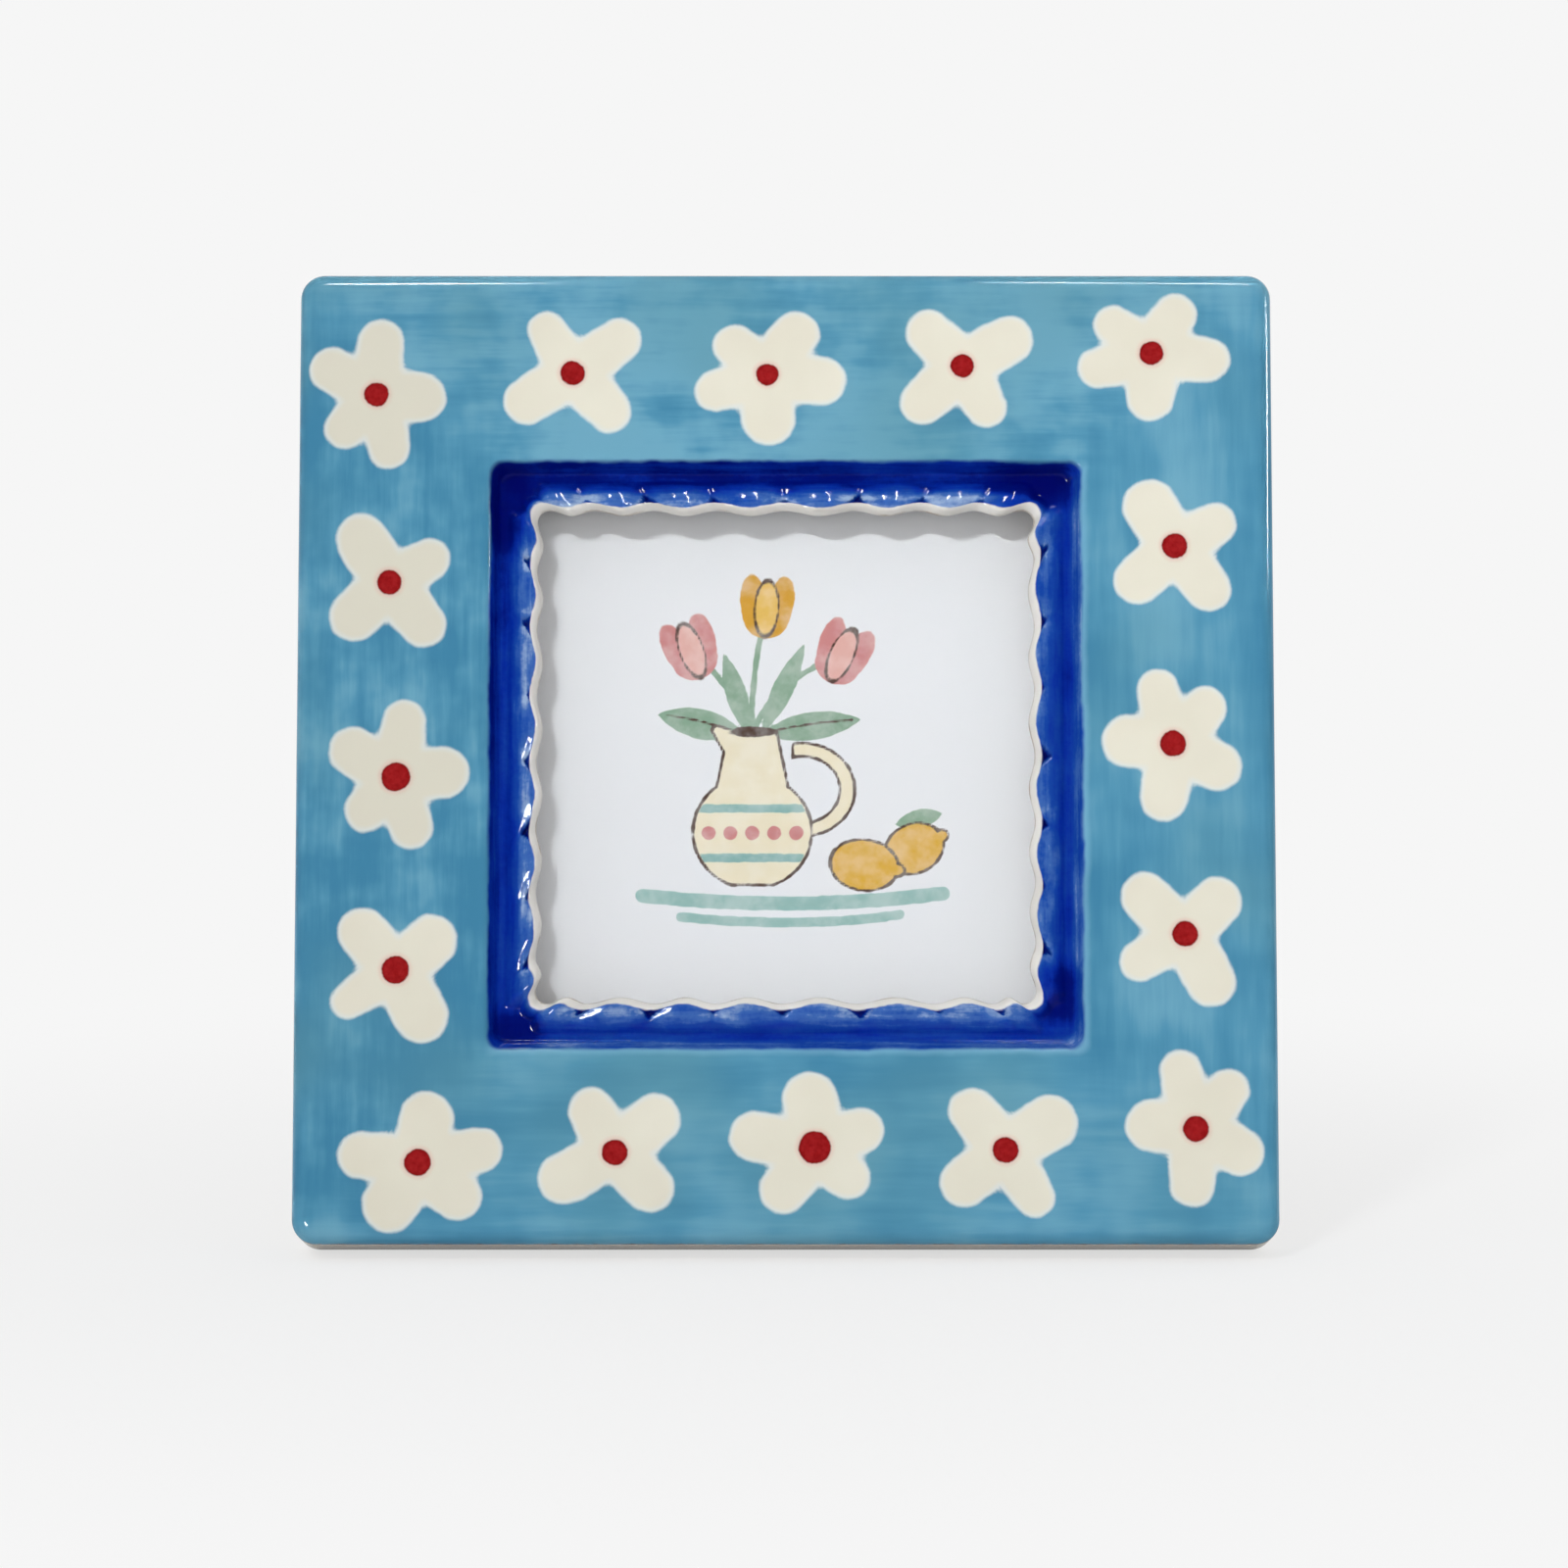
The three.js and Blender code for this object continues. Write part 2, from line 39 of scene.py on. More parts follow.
# Glazed frame: outline and edges
EDGE_RADIUS = 3.0
FACE_CORNER = 1.5
BACK_RADIUS = 1.5
SKIN_INSET = 0.04

# Lip: a land round the window that falls towards it and dips where two scallops meet
LIP_HALF = 45.8
LIP_CORNER = 2.2
LIP_SETBACK = 1.5
LIP_LAND = 1.3
LIP_FALL = 1.6
LIP_CURL = 0.8
LIP_DIP = 0.75
LIP_UNDERCUT = 1.4
SCALLOP_DEPTH = 1.1
SCALLOP_AT_GLASS = 0.6

# Band: a lobe behind each scallop, a pit between two lobes, a valley and the wall up to the field
BAND_WIDTH = 8.7
BAND_DEPTH = 4.0
BAND_CORNER = 2.6
WALL_START = 6.6
WALL_END = 9.2
LOBE_LENGTH = 4.2
LOBE_AT_CORNER = 1.6
LOBE_SAG = 0.45
LOBE_SAG_RUN = 1.0
PIT_DEPTH = 1.5
PIT_REACH = 2.1
PIT_SOFTNESS = 0.6
PIT_MOUTH = (-0.3, 0.1)
PIT_POINT = 5
PIT_SIZE = 0.91
PIT_SIZE_CHANGE = 0.09
PIT_SIZE_RHYTHM = 2.1

# Field: soft waves, by the lengths along x and z of a radian, and petals that stand proud
FIELD_WAVE = 0.1
WAVE_SHORT = (9.0, 11.0)
WAVE_LONG = (23.0, 17.0)
WAVE_PHASE = 1.1
WAVE_RUN_IN = 4.0
WAVE_RUN_OUT = 8.0
PETAL_RISE = 0.05
PETAL_SHOULDER = 0.6

# Rebate at the back, which holds the pane, print, card and board
REBATE_CLEARANCE = 0.6
REBATE_CORNER = 2.0
REBATE_CHAMFER = 0.4
STACK_GAP = 0.2
LEDGE_SHARES = (0.35, 0.7)

# Paint: where it ends on the sides and underneath, and how far brush directions blend at a corner
SIDE_PAINT_END = 2.6
LOWER_PAINT_END = 14.6
LOWER_PAINT_TURN = (0.3, 0.9)
MITRE_BLUR = 13.0

# How thickly the cobalt lies: 0 is thin, 1 is deep. The terms by side are painted light and shade,
# lighter where a side faces the light and darker where it faces away: ABOVE, RIGHT and RISE for the lobes
# and valley, SHADED and LIT for the wall
TONE_LOBE = 0.27
TONE_LOBE_ABOVE = -0.03
TONE_LOBE_RIGHT = 0.07
TONE_LOBE_AT_CUSP = 0.62
TONE_LOBE_FADE = (0.3, 1.05)
TONE_VALLEY = 0.73
TONE_VALLEY_RISE = 0.05
TONE_VALLEY_ABOVE = 0.2
TONE_WALL_SHADED = 0.95
TONE_WALL_LIT = 0.22
TONE_WALL_FADE = (-0.2, 1.0)
TONE_PIT = 0.8
TONE_POOL = 0.5
# Painted light and shade on the band's wall and the field beside it: how much of the light a side
# catches, by the way that it faces
LIT_MEAN = 0.5
LIT_CHANGE = 0.35
# Pale clouds just behind the lip, by their distance from the window, strongest beside the pits
CLOUD_RISE = (1.0, 1.6)
CLOUD_FADE = (1.8, 4.9)
CLOUD_LEAST = 0.3
CLOUD_POINT = 1.5

# Where the scallops of the lip meet, along each side in its direction of travel from the middle
CUSPS = (
    (-36.4, -23.8, -12.8, -0.7, 13.0, 27.1, 38.1),
    (-34.5, -23.4, -12.3, 0.0, 12.2, 24.0, 36.8),
    (-34.8, -24.1, -12.7, 0.2, 12.7, 24.5, 35.4),
    (-34.6, -23.5, -10.8, 1.1, 13.6, 25.4, 37.5),
)
# Travel direction and outward direction of the lower, right, upper and left side
SIDES = (((1, 0), (0, -1)), ((0, 1), (1, 0)), ((-1, 0), (0, 1)), ((0, -1), (-1, 0)))

# Painted flowers: middle from the frame's middle, radius of the dot, then each petal's direction in
# degrees from +x towards +z, its reach and the radius of its tip
PETAL_ROOT = 3.7
PETAL_BULGE = 0.55
PETAL_FILLET = 1.4
FLOWERS = (
    (67.7, 74.8, 2.25,
     ((59, 12.5, 4.1), (143, 12.5, 3.6), (196, 14.3, 3.8), (268, 12.9, 4.5), (353, 14.6, 4.3))),
    (32.7, 72.4, 2.2,
     ((29, 14.4, 4.4), (135, 13.1, 4.3), (222, 14.3, 4.2), (300, 12.8, 3.7))),
    (-39.4, 71.0, 2.3,
     ((36, 14.7, 4.1), (121, 13.0, 3.6), (212, 14.2, 4.3), (314, 13.9, 4.2))),
    (-3.4, 70.8, 2.1,
     ((55, 13.5, 4.3), (139, 12.1, 4.0), (198, 14.0, 3.9), (271, 13.3, 4.9), (353, 14.6, 4.5))),
    (-75.6, 67.0, 2.3,
     ((86, 14.1, 4.4), (151, 13.6, 4.2), (229, 12.6, 4.0), (283, 14.3, 3.9), (357, 12.7, 4.7))),
    (71.7, 38.6, 2.4,
     ((29, 12.5, 3.9), (122, 13.8, 5.0), (224, 13.9, 4.5), (307, 14.4, 4.3))),
    (-73.0, 31.8, 2.3,
     ((30, 12.4, 3.9), (122, 14.4, 4.8), (225, 13.7, 4.6), (309, 14.3, 4.3))),
    (71.1, 1.8, 2.45,
     ((48, 12.8, 3.9), (105, 14.2, 3.8), (177, 13.2, 4.9), (260, 14.5, 4.4), (332, 13.6, 4.4))),
    (-71.5, -4.4, 2.7,
     ((5, 13.4, 4.8), (82, 14.6, 4.0), (149, 13.8, 4.4), (229, 12.3, 4.1), (287, 13.8, 4.0))),
    (73.0, -33.4, 2.4,
     ((46, 12.8, 4.5), (136, 14.4, 4.5), (211, 13.3, 3.6), (298, 14.6, 4.7))),
    (-71.3, -40.0, 2.6,
     ((40, 13.2, 4.7), (131, 13.7, 4.5), (214, 13.7, 3.2), (300, 14.7, 4.9))),
    (74.7, -69.1, 2.4,
     ((50, 13.2, 3.9), (104, 14.8, 3.9), (176, 12.9, 4.8), (266, 14.3, 4.1), (332, 13.4, 4.4))),
    (5.3, -72.5, 3.0,
     ((20, 13.1, 4.0), (96, 13.8, 5.0), (170, 15.7, 4.6), (233, 14.0, 4.4), (318, 12.0, 4.1))),
    (40.0, -73.0, 2.4,
     ((31, 14.6, 5.1), (131, 13.5, 4.4), (218, 13.9, 4.4), (302, 13.8, 3.7))),
    (-31.1, -73.4, 2.4,
     ((40, 14.3, 4.7), (120, 13.0, 4.2), (207, 15.2, 4.6), (315, 13.5, 4.4))),
    (-67.0, -75.2, 2.5,
     ((11, 15.6, 4.2), (78, 13.2, 5.1), (173, 14.7, 4.3), (237, 14.3, 5.2), (321, 14.0, 4.6))),
)
# Places in that list of the upper three flowers on the left, whose ivory is darkened as painted shade
SHADED_FLOWERS = (4, 6, 8)
# Where brush strokes overlap in the corners of the band: middle and half size
POOL_POWER = 4
POOLS = (
    (46.2, 50.2, 7.8, 4.2),
    (-51.2, 46.3, 3.8, 8.0),
    (-49.0, -51.0, 4.4, 3.6),
    (50.6, -44.0, 3.9, 5.2),
)

# Printed picture: the design's size on the sheet and how far it hangs below the middle
DESIGN_SCALE = 0.88
DESIGN_DROP = 1.5
CURVE_STEPS = 12

# Mesh density: points along each side and corner, and rings over each stretch of the profile
SIDE_STEPS = 184
CORNER_STEPS = 12
WINDOW_RINGS = 7
LIP_RINGS = 9
LOBE_RINGS = 20
VALLEY_RINGS = 4
WALL_RINGS = 12
FIELD_RINGS = 40
EDGE_RINGS = 9
SIDE_RINGS = 8
BACK_EDGE_RINGS = 5
BACK_RINGS = 9
REBATE_RINGS = 5
PICTURE_STEPS = 240

# Flat layout on a square sheet of the pieces that replace a node
BAKE_MARGIN = 1.01
BAKE_BACK_SCALE = 0.36
BAKE_PICTURE_HALF = 0.47
BAKE_PICTURE_MIDDLE = 0.48
BAKE_SPARE = 0.99

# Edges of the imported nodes: what is welded, what counts as flat and what is rounded
WELD_DISTANCE = 0.002
FLAT_ANGLE = math.radians(1)
BEVEL_ANGLE = math.radians(35)
BEVEL_SEGMENTS = 2

# Share of light that the glass mirrors when looked at straight on, and how it grows at a slant
GLASS_GLOSS = 0.017
GLASS_SLANT_POWER = 5.0

# Camera: its place, the width that the view spans at the frame, and its aim from the face's middle
CAMERA_DISTANCE = 1230.0
CAMERA_ELEVATION = math.radians(6)
VIEW_SPAN = 287.8
AIM_SHIFT = (-0.3, -5.7)
SENSOR = 36.0

# Lamp that lights the frame, and its aim from the face's middle
KEY_DIRECTION = (-0.32, -1.0, 0.34)
KEY_DISTANCE = 1500.0
KEY_SIZE = (220.0, 70.0)
KEY_SPREAD = math.radians(34)
KEY_AIM = (75.0, 55.0)
KEY_WATTS = 0.34
# Lamps that only draw glints in the gloss: direction, size and watts
GLINT_LAMPS = (
    ((-0.43, -0.89, -0.17), (200.0, 160.0), 7.0),
    ((-0.11, -0.62, 0.78), (60.0, 240.0), 3.2),
    ((0.13, -0.62, 0.78), (28.0, 600.0), 3.6),
    ((1.0, 0.0, 0.292), (300.0, 9.0), 1.2),
    ((1.0, 0.0, 0.238), (300.0, 6.0), 0.8),
    ((1.0, 0.0, 0.222), (300.0, 16.0), 1.6),
)
GLINT_DISTANCE = 1200.0

# Surround: its even light, its colour, and the dim opening that the gloss mirrors in front of the frame
FILL_LEVEL = 0.71
BACKGROUND = (246, 246, 246)
OPENING_DIRECTION = (0.0, -0.93, 0.37)
OPENING_EDGES = (-0.95, 0.25)
OPENING_LEVEL = 0.04

# Floor: how far off the shadow shows, the glow there, and the level that the gloss mirrors in front
FLOOR_COLOUR = (244, 244, 244)
FLOOR_HALF = 4000.0
SHADOW_REACH = (60.0, 340.0)
SHADOW_GLOW = 0.72
MIRROR_EDGE = 50.0
MIRROR_LEVEL = 0.25

# Sockets of a Mix node for each kind of value: first, second and result
MIX_SOCKETS = {"RGBA": (6, 7, 2), "FLOAT": (2, 3, 0)}


# Frame as packed
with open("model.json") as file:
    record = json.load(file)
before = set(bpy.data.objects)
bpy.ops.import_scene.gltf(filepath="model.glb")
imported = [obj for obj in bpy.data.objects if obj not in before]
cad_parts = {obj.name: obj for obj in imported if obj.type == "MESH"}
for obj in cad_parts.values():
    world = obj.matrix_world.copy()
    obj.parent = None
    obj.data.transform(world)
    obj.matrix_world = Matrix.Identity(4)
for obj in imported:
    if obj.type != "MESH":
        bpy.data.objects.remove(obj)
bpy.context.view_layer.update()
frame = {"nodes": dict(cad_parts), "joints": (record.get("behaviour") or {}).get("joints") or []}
nodes = frame["nodes"]
button_axis = next(j for j in frame["joints"] if j["name"].startswith("button_turn"))["axis"]
lean = math.atan2(-button_axis[2], button_axis[1])


def upright_box(name):
    """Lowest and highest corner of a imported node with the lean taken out, in millimetres."""
    points = np.array([v.co for v in nodes[name].data.vertices]) / MM
    stood = points @ np.array(Matrix.Rotation(lean, 3, "X")).T
    return stood.min(axis=0), stood.max(axis=0)


glazed_low, glazed_high = upright_box("ceramic_frame")
to_back_plane = np.array((0.0, glazed_high[1], glazed_low[2]))
LEANED = Matrix.Rotation(-lean, 4, "X") @ Matrix.Translation(Vector(to_back_plane) * MM)

frame_half = (glazed_high[0] - glazed_low[0]) / 2
skin_half = frame_half - SKIN_INSET
skin_depth = glazed_high[1] - glazed_low[1] - SKIN_INSET
rebate_half = upright_box("backing_board")[1][0] + REBATE_CLEARANCE
rebate_floor = glazed_high[1] - upright_box("glass_pane")[0][1] + STACK_GAP
print_low, print_high = (corner - to_back_plane for corner in upright_box("picture_print"))
lip_crest = skin_depth - LIP_SETBACK
valley = skin_depth - BAND_DEPTH


def srgb(red, green, blue):
    """Linear colour of an sRGB one whose channels run from 0 to 255."""
    shares = np.array((red, green, blue)) / 255
    linear = np.where(shares <= 0.04045, shares / 12.92, ((shares + 0.055) / 1.055) ** 2.4)
    return (*(float(level) for level in linear), 1.0)


def smooth(value, low, high):
    """Smooth step from 0 at low to 1 at high."""
    share = np.clip((value - low) / (high - low), 0, 1)
    return share * share * (3 - 2 * share)


def between(share, first, second):
    """The value that lies a share of the way from first to second."""
    return first + (second - first) * share


# Shader helpers
class NodeMaker:
    """A node tree in the making: short calls add nodes and give back their output sockets."""

    def __init__(self, tree):
        self.tree = tree

    def feed(self, socket, value):
        """Links a socket, or sets a plain value."""
        if isinstance(value, bpy.types.NodeSocket):
            self.tree.links.new(value, socket)
        else:
            socket.default_value = value

    def node(self, kind, settings=None, inputs=None):
        """A new shader node with its settings, its inputs fed by name or by number."""
        made = self.tree.nodes.new(f"ShaderNode{kind}")
        for name, value in (settings or {}).items():
            setattr(made, name, value)
        for name, value in (inputs or {}).items():
            self.feed(made.inputs[name], value)
        return made

    def math(self, operation, first, second=0.0):
        """Result of an operation on two numbers."""
        return self.node("Math", {"operation": operation}, {0: first, 1: second}).outputs[0]

    def step(self, value, low, high, start=0.0, end=1.0):
        """Smooth step of a value, from start at low to end at high."""
        inputs = {"Value": value, "From Min": low, "From Max": high, "To Min": start, "To Max": end}
        made = self.node("MapRange", {"interpolation_type": "SMOOTHSTEP"}, inputs)
        return made.outputs["Result"]

    def mix(self, share, first, second, kind="RGBA"):
        """Colour, or number, a share of the way from first to second."""
        first_socket, second_socket, result = MIX_SOCKETS[kind]
        inputs = {0: share, first_socket: first, second_socket: second}
        return self.node("Mix", {"data_type": kind}, inputs).outputs[result]

    def light_path(self, kind):
        """1 for rays of one kind, 0 for the others."""
        return self.node("LightPath").outputs[kind]

    def seen_directly(self):
        """1 for rays from the camera, a reflection or through glass, 0 for rays that gather light."""
        seen = self.math("MAXIMUM", self.light_path("Is Camera Ray"), self.light_path("Is Glossy Ray"))
        return self.math("MAXIMUM", seen, self.light_path("Is Transmission Ray"))

    def show(self, output, share, first, second):
        """Sends a mix of two shaders to an output node."""
        inputs = {0: share, 1: first.outputs[0], 2: second.outputs[0]}
        both = self.node("MixShader", inputs=inputs)
        self.feed(self.tree.nodes[output].inputs["Surface"], both.outputs[0])


class Finish(NodeMaker):
    """A material in the making, on the upright places of its piece."""

    def __init__(self, name, constants):
        self.material = bpy.data.materials.new(name)
        self.material.use_nodes = True
        super().__init__(self.material.node_tree)
        self.shader = self.tree.nodes["Principled BSDF"]
        for socket, value in constants.items():
            self.shader.inputs[socket].default_value = value
        placed = self.node("TexCoord").outputs["Object"]
        stood = self.node("Mapping", inputs={"Vector": placed, "Rotation": (lean, 0.0, 0.0)})
        self.place = stood.outputs[0]

    def noise(self, period, detail=2.0, roughness=0.5, stretch=(1, 1, 1), shift=0.0):
        """Noise about 0.5 with waves a period of millimetres long, times the stretch of each axis."""
        scale = tuple(1 / (MM * period * share) for share in stretch)
        placing = {"Vector": self.place, "Location": (shift,) * 3, "Scale": scale}
        moved = self.node("Mapping", inputs=placing)
        inputs = {"Vector": moved.outputs[0], "Scale": 1.0, "Detail": detail, "Roughness": roughness}
        return self.node("TexNoise", inputs=inputs).outputs[0]

    def strokes(self, upright, width, length):
        """Noise drawn out by length along the brush, which runs upright or across."""
        across = self.noise(width, 3.0, 0.55, stretch=(length, 1, 1))
        downward = self.noise(width, 3.0, 0.55, stretch=(1, 1, length), shift=3.0)
        return self.mix(upright, across, downward, "FLOAT")

    def centred(self, value):
        """A noise about 0."""
        return self.math("SUBTRACT", value, 0.5)

    def total(self, *terms):
        """Sum of values, each times its weight."""
        whole = 0.0
        for value, weight in terms:
            inputs = {0: value, 1: weight, 2: whole}
            whole = self.node("Math", {"operation": "MULTIPLY_ADD"}, inputs).outputs[0]
        return whole

    def attribute(self, name, *terms):
        """A value that the mesh holds at each point, with other values added by their weights."""
        held = self.node("Attribute", {"attribute_name": name}).outputs["Fac"]
        return self.total((held, 1.0), *terms) if terms else held

    def ramp(self, value, stops):
        """Colour by value along stops of place and colour."""
        made = self.node("ValToRGB", inputs={"Fac": value})
        elements = made.color_ramp.elements
        for place, _ in stops[1:-1]:
            elements.new(place)
        for element, (place, colour) in zip(elements, stops):
            element.position = place
            element.color = colour
        return made.outputs["Color"]

    def bump(self, height, rise, over=None):
        """Normal of a relief whose height runs from 0 to 1 and stands rise millimetres tall."""
        inputs = {"Strength": 1.0, "Distance": rise * MM, "Height": height}
        if over is not None:
            inputs["Normal"] = over
        return self.node("Bump", inputs=inputs).outputs["Normal"]

    def done(self, **sockets):
        """The material, with sockets of its shader fed by name."""
        for name, value in sockets.items():
            self.feed(self.shader.inputs[name.replace("_", " ")], value)
        return self.material


# Glazed frame: rings of points round the window, from the glass over the front to the back
def pit_size(cusp):
    """Share of the full size that the pit at one of the cusps has."""
    return PIT_SIZE + PIT_SIZE_CHANGE * math.sin(PIT_SIZE_RHYTHM * cusp)


def make_spokes():
    """Corner centre and outward direction of each ring point, with its place in its scallop.

    A pit lies where two scallops meet; each is a little larger or smaller than the next. The turn
    grows from 0 along a side to 1 round the corner.
    """
    spokes = []
    straight = LIP_HALF - LIP_CORNER
    for side, ((travel, outward), cusps) in enumerate(zip(np.array(SIDES, float), CUSPS)):
        bounds = np.array((-straight, *cusps, straight))
        for along in np.linspace(-1, 1, SIDE_STEPS + 1):
            lobe = np.clip(np.searchsorted(bounds, along * straight) - 1, 0, len(cusps))
            share = 2 * (along * straight - bounds[lobe]) / (bounds[lobe + 1] - bounds[lobe]) - 1
            at_corner = (lobe == 0 and share < 0) or (lobe == len(cusps) and share > 0)
            cusp = side * len(cusps) + lobe - (1 if share < 0 else 0)
            pit = 0.0 if at_corner else abs(share) * pit_size(cusp)
            turn = abs(share) if at_corner else 0.0
            spokes.append((along * travel + outward, outward, share, pit, turn))
        for angle in np.linspace(0, math.pi / 2, CORNER_STEPS + 1)[1:-1]:
            slanted = math.cos(angle) * outward + math.sin(angle) * travel
            spokes.append((travel + outward, slanted, 1.0, 0.0, 1.0))
    return (np.array(values) for values in zip(*spokes))


spoke_centres, spoke_outwards, spoke_lobes, spoke_pits, spoke_turns = make_spokes()
# Shares by the way each side faces, for the painted light and shade on the band
faces_light = LIT_MEAN + LIT_CHANGE * (spoke_outwards[:, 0] - spoke_outwards[:, 1])
faces_floor = np.clip(spoke_outwards[:, 1], 0, 1)
faces_right = np.clip(spoke_outwards[:, 0], 0, 1)
lobe_wave = np.cos(spoke_lobes * math.pi / 2) ** 2
lobe_arc = 1 - spoke_lobes**2
lobe_length = between(spoke_turns**2, LOBE_LENGTH, LOBE_AT_CORNER)
pit_reach = PIT_REACH * spoke_pits**PIT_POINT
cloud_share = between(spoke_pits**CLOUD_POINT, CLOUD_LEAST, 1)


def square_ring(half, corner):
    """Points of a rounded square, counter-clockwise from the lower left as seen in front."""
    return (half - corner) * spoke_centres + corner * spoke_outwards


def pit_share(out):
    """How deep in a pit between two scallops each point is, out millimetres from the window."""
    beyond = out - LIP_LAND
    return smooth(pit_reach - beyond, 0, PIT_SOFTNESS) * smooth(beyond, *PIT_MOUTH)


def band_depth(out):
    """Depth of the lip, its scallops, the valley and the wall, out millimetres from the window."""
    crest = lip_crest - LIP_DIP * (1 - lobe_wave)
    if out <= LIP_LAND:
        share = 1 - out / LIP_LAND
        return crest - LIP_FALL * between(LIP_CURL, share, share**2)
    beyond = out - LIP_LAND
    top = crest - LOBE_SAG * (1 - lobe_arc) * smooth(beyond, 0, LOBE_SAG_RUN)
    slope = np.clip(beyond / lobe_length, 0, 1) ** 2
    wall = (skin_depth - valley) * smooth(out, WALL_START, WALL_END)
    return between(slope, top, valley) + wall - PIT_DEPTH * pit_share(out)


def band_tone(out):
    """How thickly the cobalt lies, from 0 where it is thin to above 1 in the pits, with painted light and
    shade that make each side's lobes, valley and wall lighter or darker by the way it faces the light.
    """
    # Painted light and shade: a side's lobes, valley and wall lighter or darker by the way it faces the
    # light
    on_lobe = TONE_LOBE + TONE_LOBE_ABOVE * faces_floor + TONE_LOBE_RIGHT * faces_right
    in_valley = TONE_VALLEY + TONE_VALLEY_RISE * spoke_outwards[:, 1] + TONE_VALLEY_ABOVE * faces_floor
    on_wall = between(faces_light, TONE_WALL_SHADED, TONE_WALL_LIT)
    lobe_end = lobe_length * between(lobe_arc, TONE_LOBE_AT_CUSP, 1)
    lobe = 1 - smooth((out - LIP_LAND) / lobe_end, *TONE_LOBE_FADE)
    wall = smooth(out - WALL_START, *TONE_WALL_FADE)
    return between(wall, between(lobe, in_valley, on_lobe), on_wall) + TONE_PIT * pit_share(out)


def make_ring(half, corner, depth, reach, scallop=0.0, out=None):
    """A closed ring. Its reach is its half width once unrolled, and out its distance from the window."""
    depths = np.broadcast_to(depth, spoke_lobes.shape)
    out = half - LIP_HALF if out is None else out
    return SimpleNamespace(half=half, corner=corner, depths=depths, reach=reach, scallop=scallop, out=out)


def front_rings():
    """Rings from the glass up the window's wall, over the lip, band and field and down the side."""
    for share in np.linspace(0, 1, WINDOW_RINGS, endpoint=False):
        wall = (1 - share) * (lip_crest - rebate_floor)
        depth = between(share, rebate_floor, lip_crest - LIP_FALL - LIP_DIP * (1 - lobe_wave))
        scallop = SCALLOP_DEPTH * between(share, SCALLOP_AT_GLASS, 1)
        half = LIP_HALF + LIP_UNDERCUT * (1 - share)
        yield make_ring(half, LIP_CORNER, depth, LIP_HALF - wall, scallop, -wall)
    lobes_end = LIP_LAND + LOBE_LENGTH
    stretches = (
        (0, LIP_LAND, LIP_RINGS),
        (LIP_LAND, lobes_end, LOBE_RINGS),
        (lobes_end, WALL_START, VALLEY_RINGS),
        (WALL_START, WALL_END, WALL_RINGS),
    )
    for start, end, count in stretches:
        for out in np.linspace(start, end, count)[0 if start == 0 else 1 :]:
            corner = between(min(out / BAND_WIDTH, 1), LIP_CORNER, BAND_CORNER)
            scallop = SCALLOP_DEPTH * (1 - smooth(out, LIP_LAND, lobes_end))
            yield make_ring(LIP_HALF + out, corner, band_depth(out), LIP_HALF + out, scallop)
    field_start = LIP_HALF + WALL_END
    field_end = skin_half - EDGE_RADIUS
    for share in np.linspace(0, 1, FIELD_RINGS)[1:]:
        half = between(share, field_start, field_end)
        yield make_ring(half, between(share, BAND_CORNER, FACE_CORNER), skin_depth, half)
    for angle in np.linspace(0, math.pi / 2, EDGE_RINGS)[1:]:
        grown = EDGE_RADIUS * math.sin(angle)
        depth = skin_depth - EDGE_RADIUS * (1 - math.cos(angle))
        yield make_ring(field_end + grown, FACE_CORNER + grown, depth, field_end + EDGE_RADIUS * angle)
    side_reach = field_end + EDGE_RADIUS * math.pi / 2
    for depth in np.linspace(skin_depth - EDGE_RADIUS, BACK_RADIUS, SIDE_RINGS)[1:]:
        reach = side_reach + skin_depth - EDGE_RADIUS - depth
        yield make_ring(skin_half, FACE_CORNER + EDGE_RADIUS, depth, reach)


def back_rings():
    """Rings round the back edge, over the back and down the rebate to the ledge behind the lip."""
    corner = FACE_CORNER + EDGE_RADIUS - BACK_RADIUS
    flat = skin_half - BACK_RADIUS
    for angle in np.linspace(math.pi / 2, 0, BACK_EDGE_RINGS)[1:]:
        grown = BACK_RADIUS * math.sin(angle)
        depth = BACK_RADIUS * (1 - math.cos(angle))
        yield make_ring(flat + grown, corner + grown, depth, flat + BACK_RADIUS * angle)
    for share in np.linspace(0, 1, BACK_RINGS)[1:]:
        half = between(share, flat, rebate_half + REBATE_CHAMFER)
        yield make_ring(half, between(share, corner, REBATE_CORNER + REBATE_CHAMFER), 0.0, half)
    for depth in np.linspace(REBATE_CHAMFER, rebate_floor, REBATE_RINGS):
        yield make_ring(rebate_half, REBATE_CORNER, depth, rebate_half - depth)
    for share in LEDGE_SHARES:
        half = between(share, rebate_half, LIP_HALF)
        yield make_ring(half, REBATE_CORNER, rebate_floor, half - rebate_floor)


def turned(x, z, middle, degrees):
    """Places measured from a middle, along a direction and to its left."""
    angle = math.radians(degrees)
    along = (x - middle[0]) * math.cos(angle) + (z - middle[1]) * math.sin(angle)
    aside = (z - middle[1]) * math.cos(angle) - (x - middle[0]) * math.sin(angle)
    return along, aside


def union(*shapes):
    """Signed distance to the nearest of some shapes, negative inside it."""
    return np.minimum.reduce(shapes)


def overlap(*shapes):
    """Signed distance to what some shapes have in common, negative inside it."""
    return np.maximum.reduce(shapes)


def soft_union(first, second, reach):
    """Union of two shapes, with the corner where they meet filled over a reach."""
    share = np.clip(1 - np.abs(first - second) / reach, 0, 1)
    return np.minimum(first, second) - share**2 * reach / 4


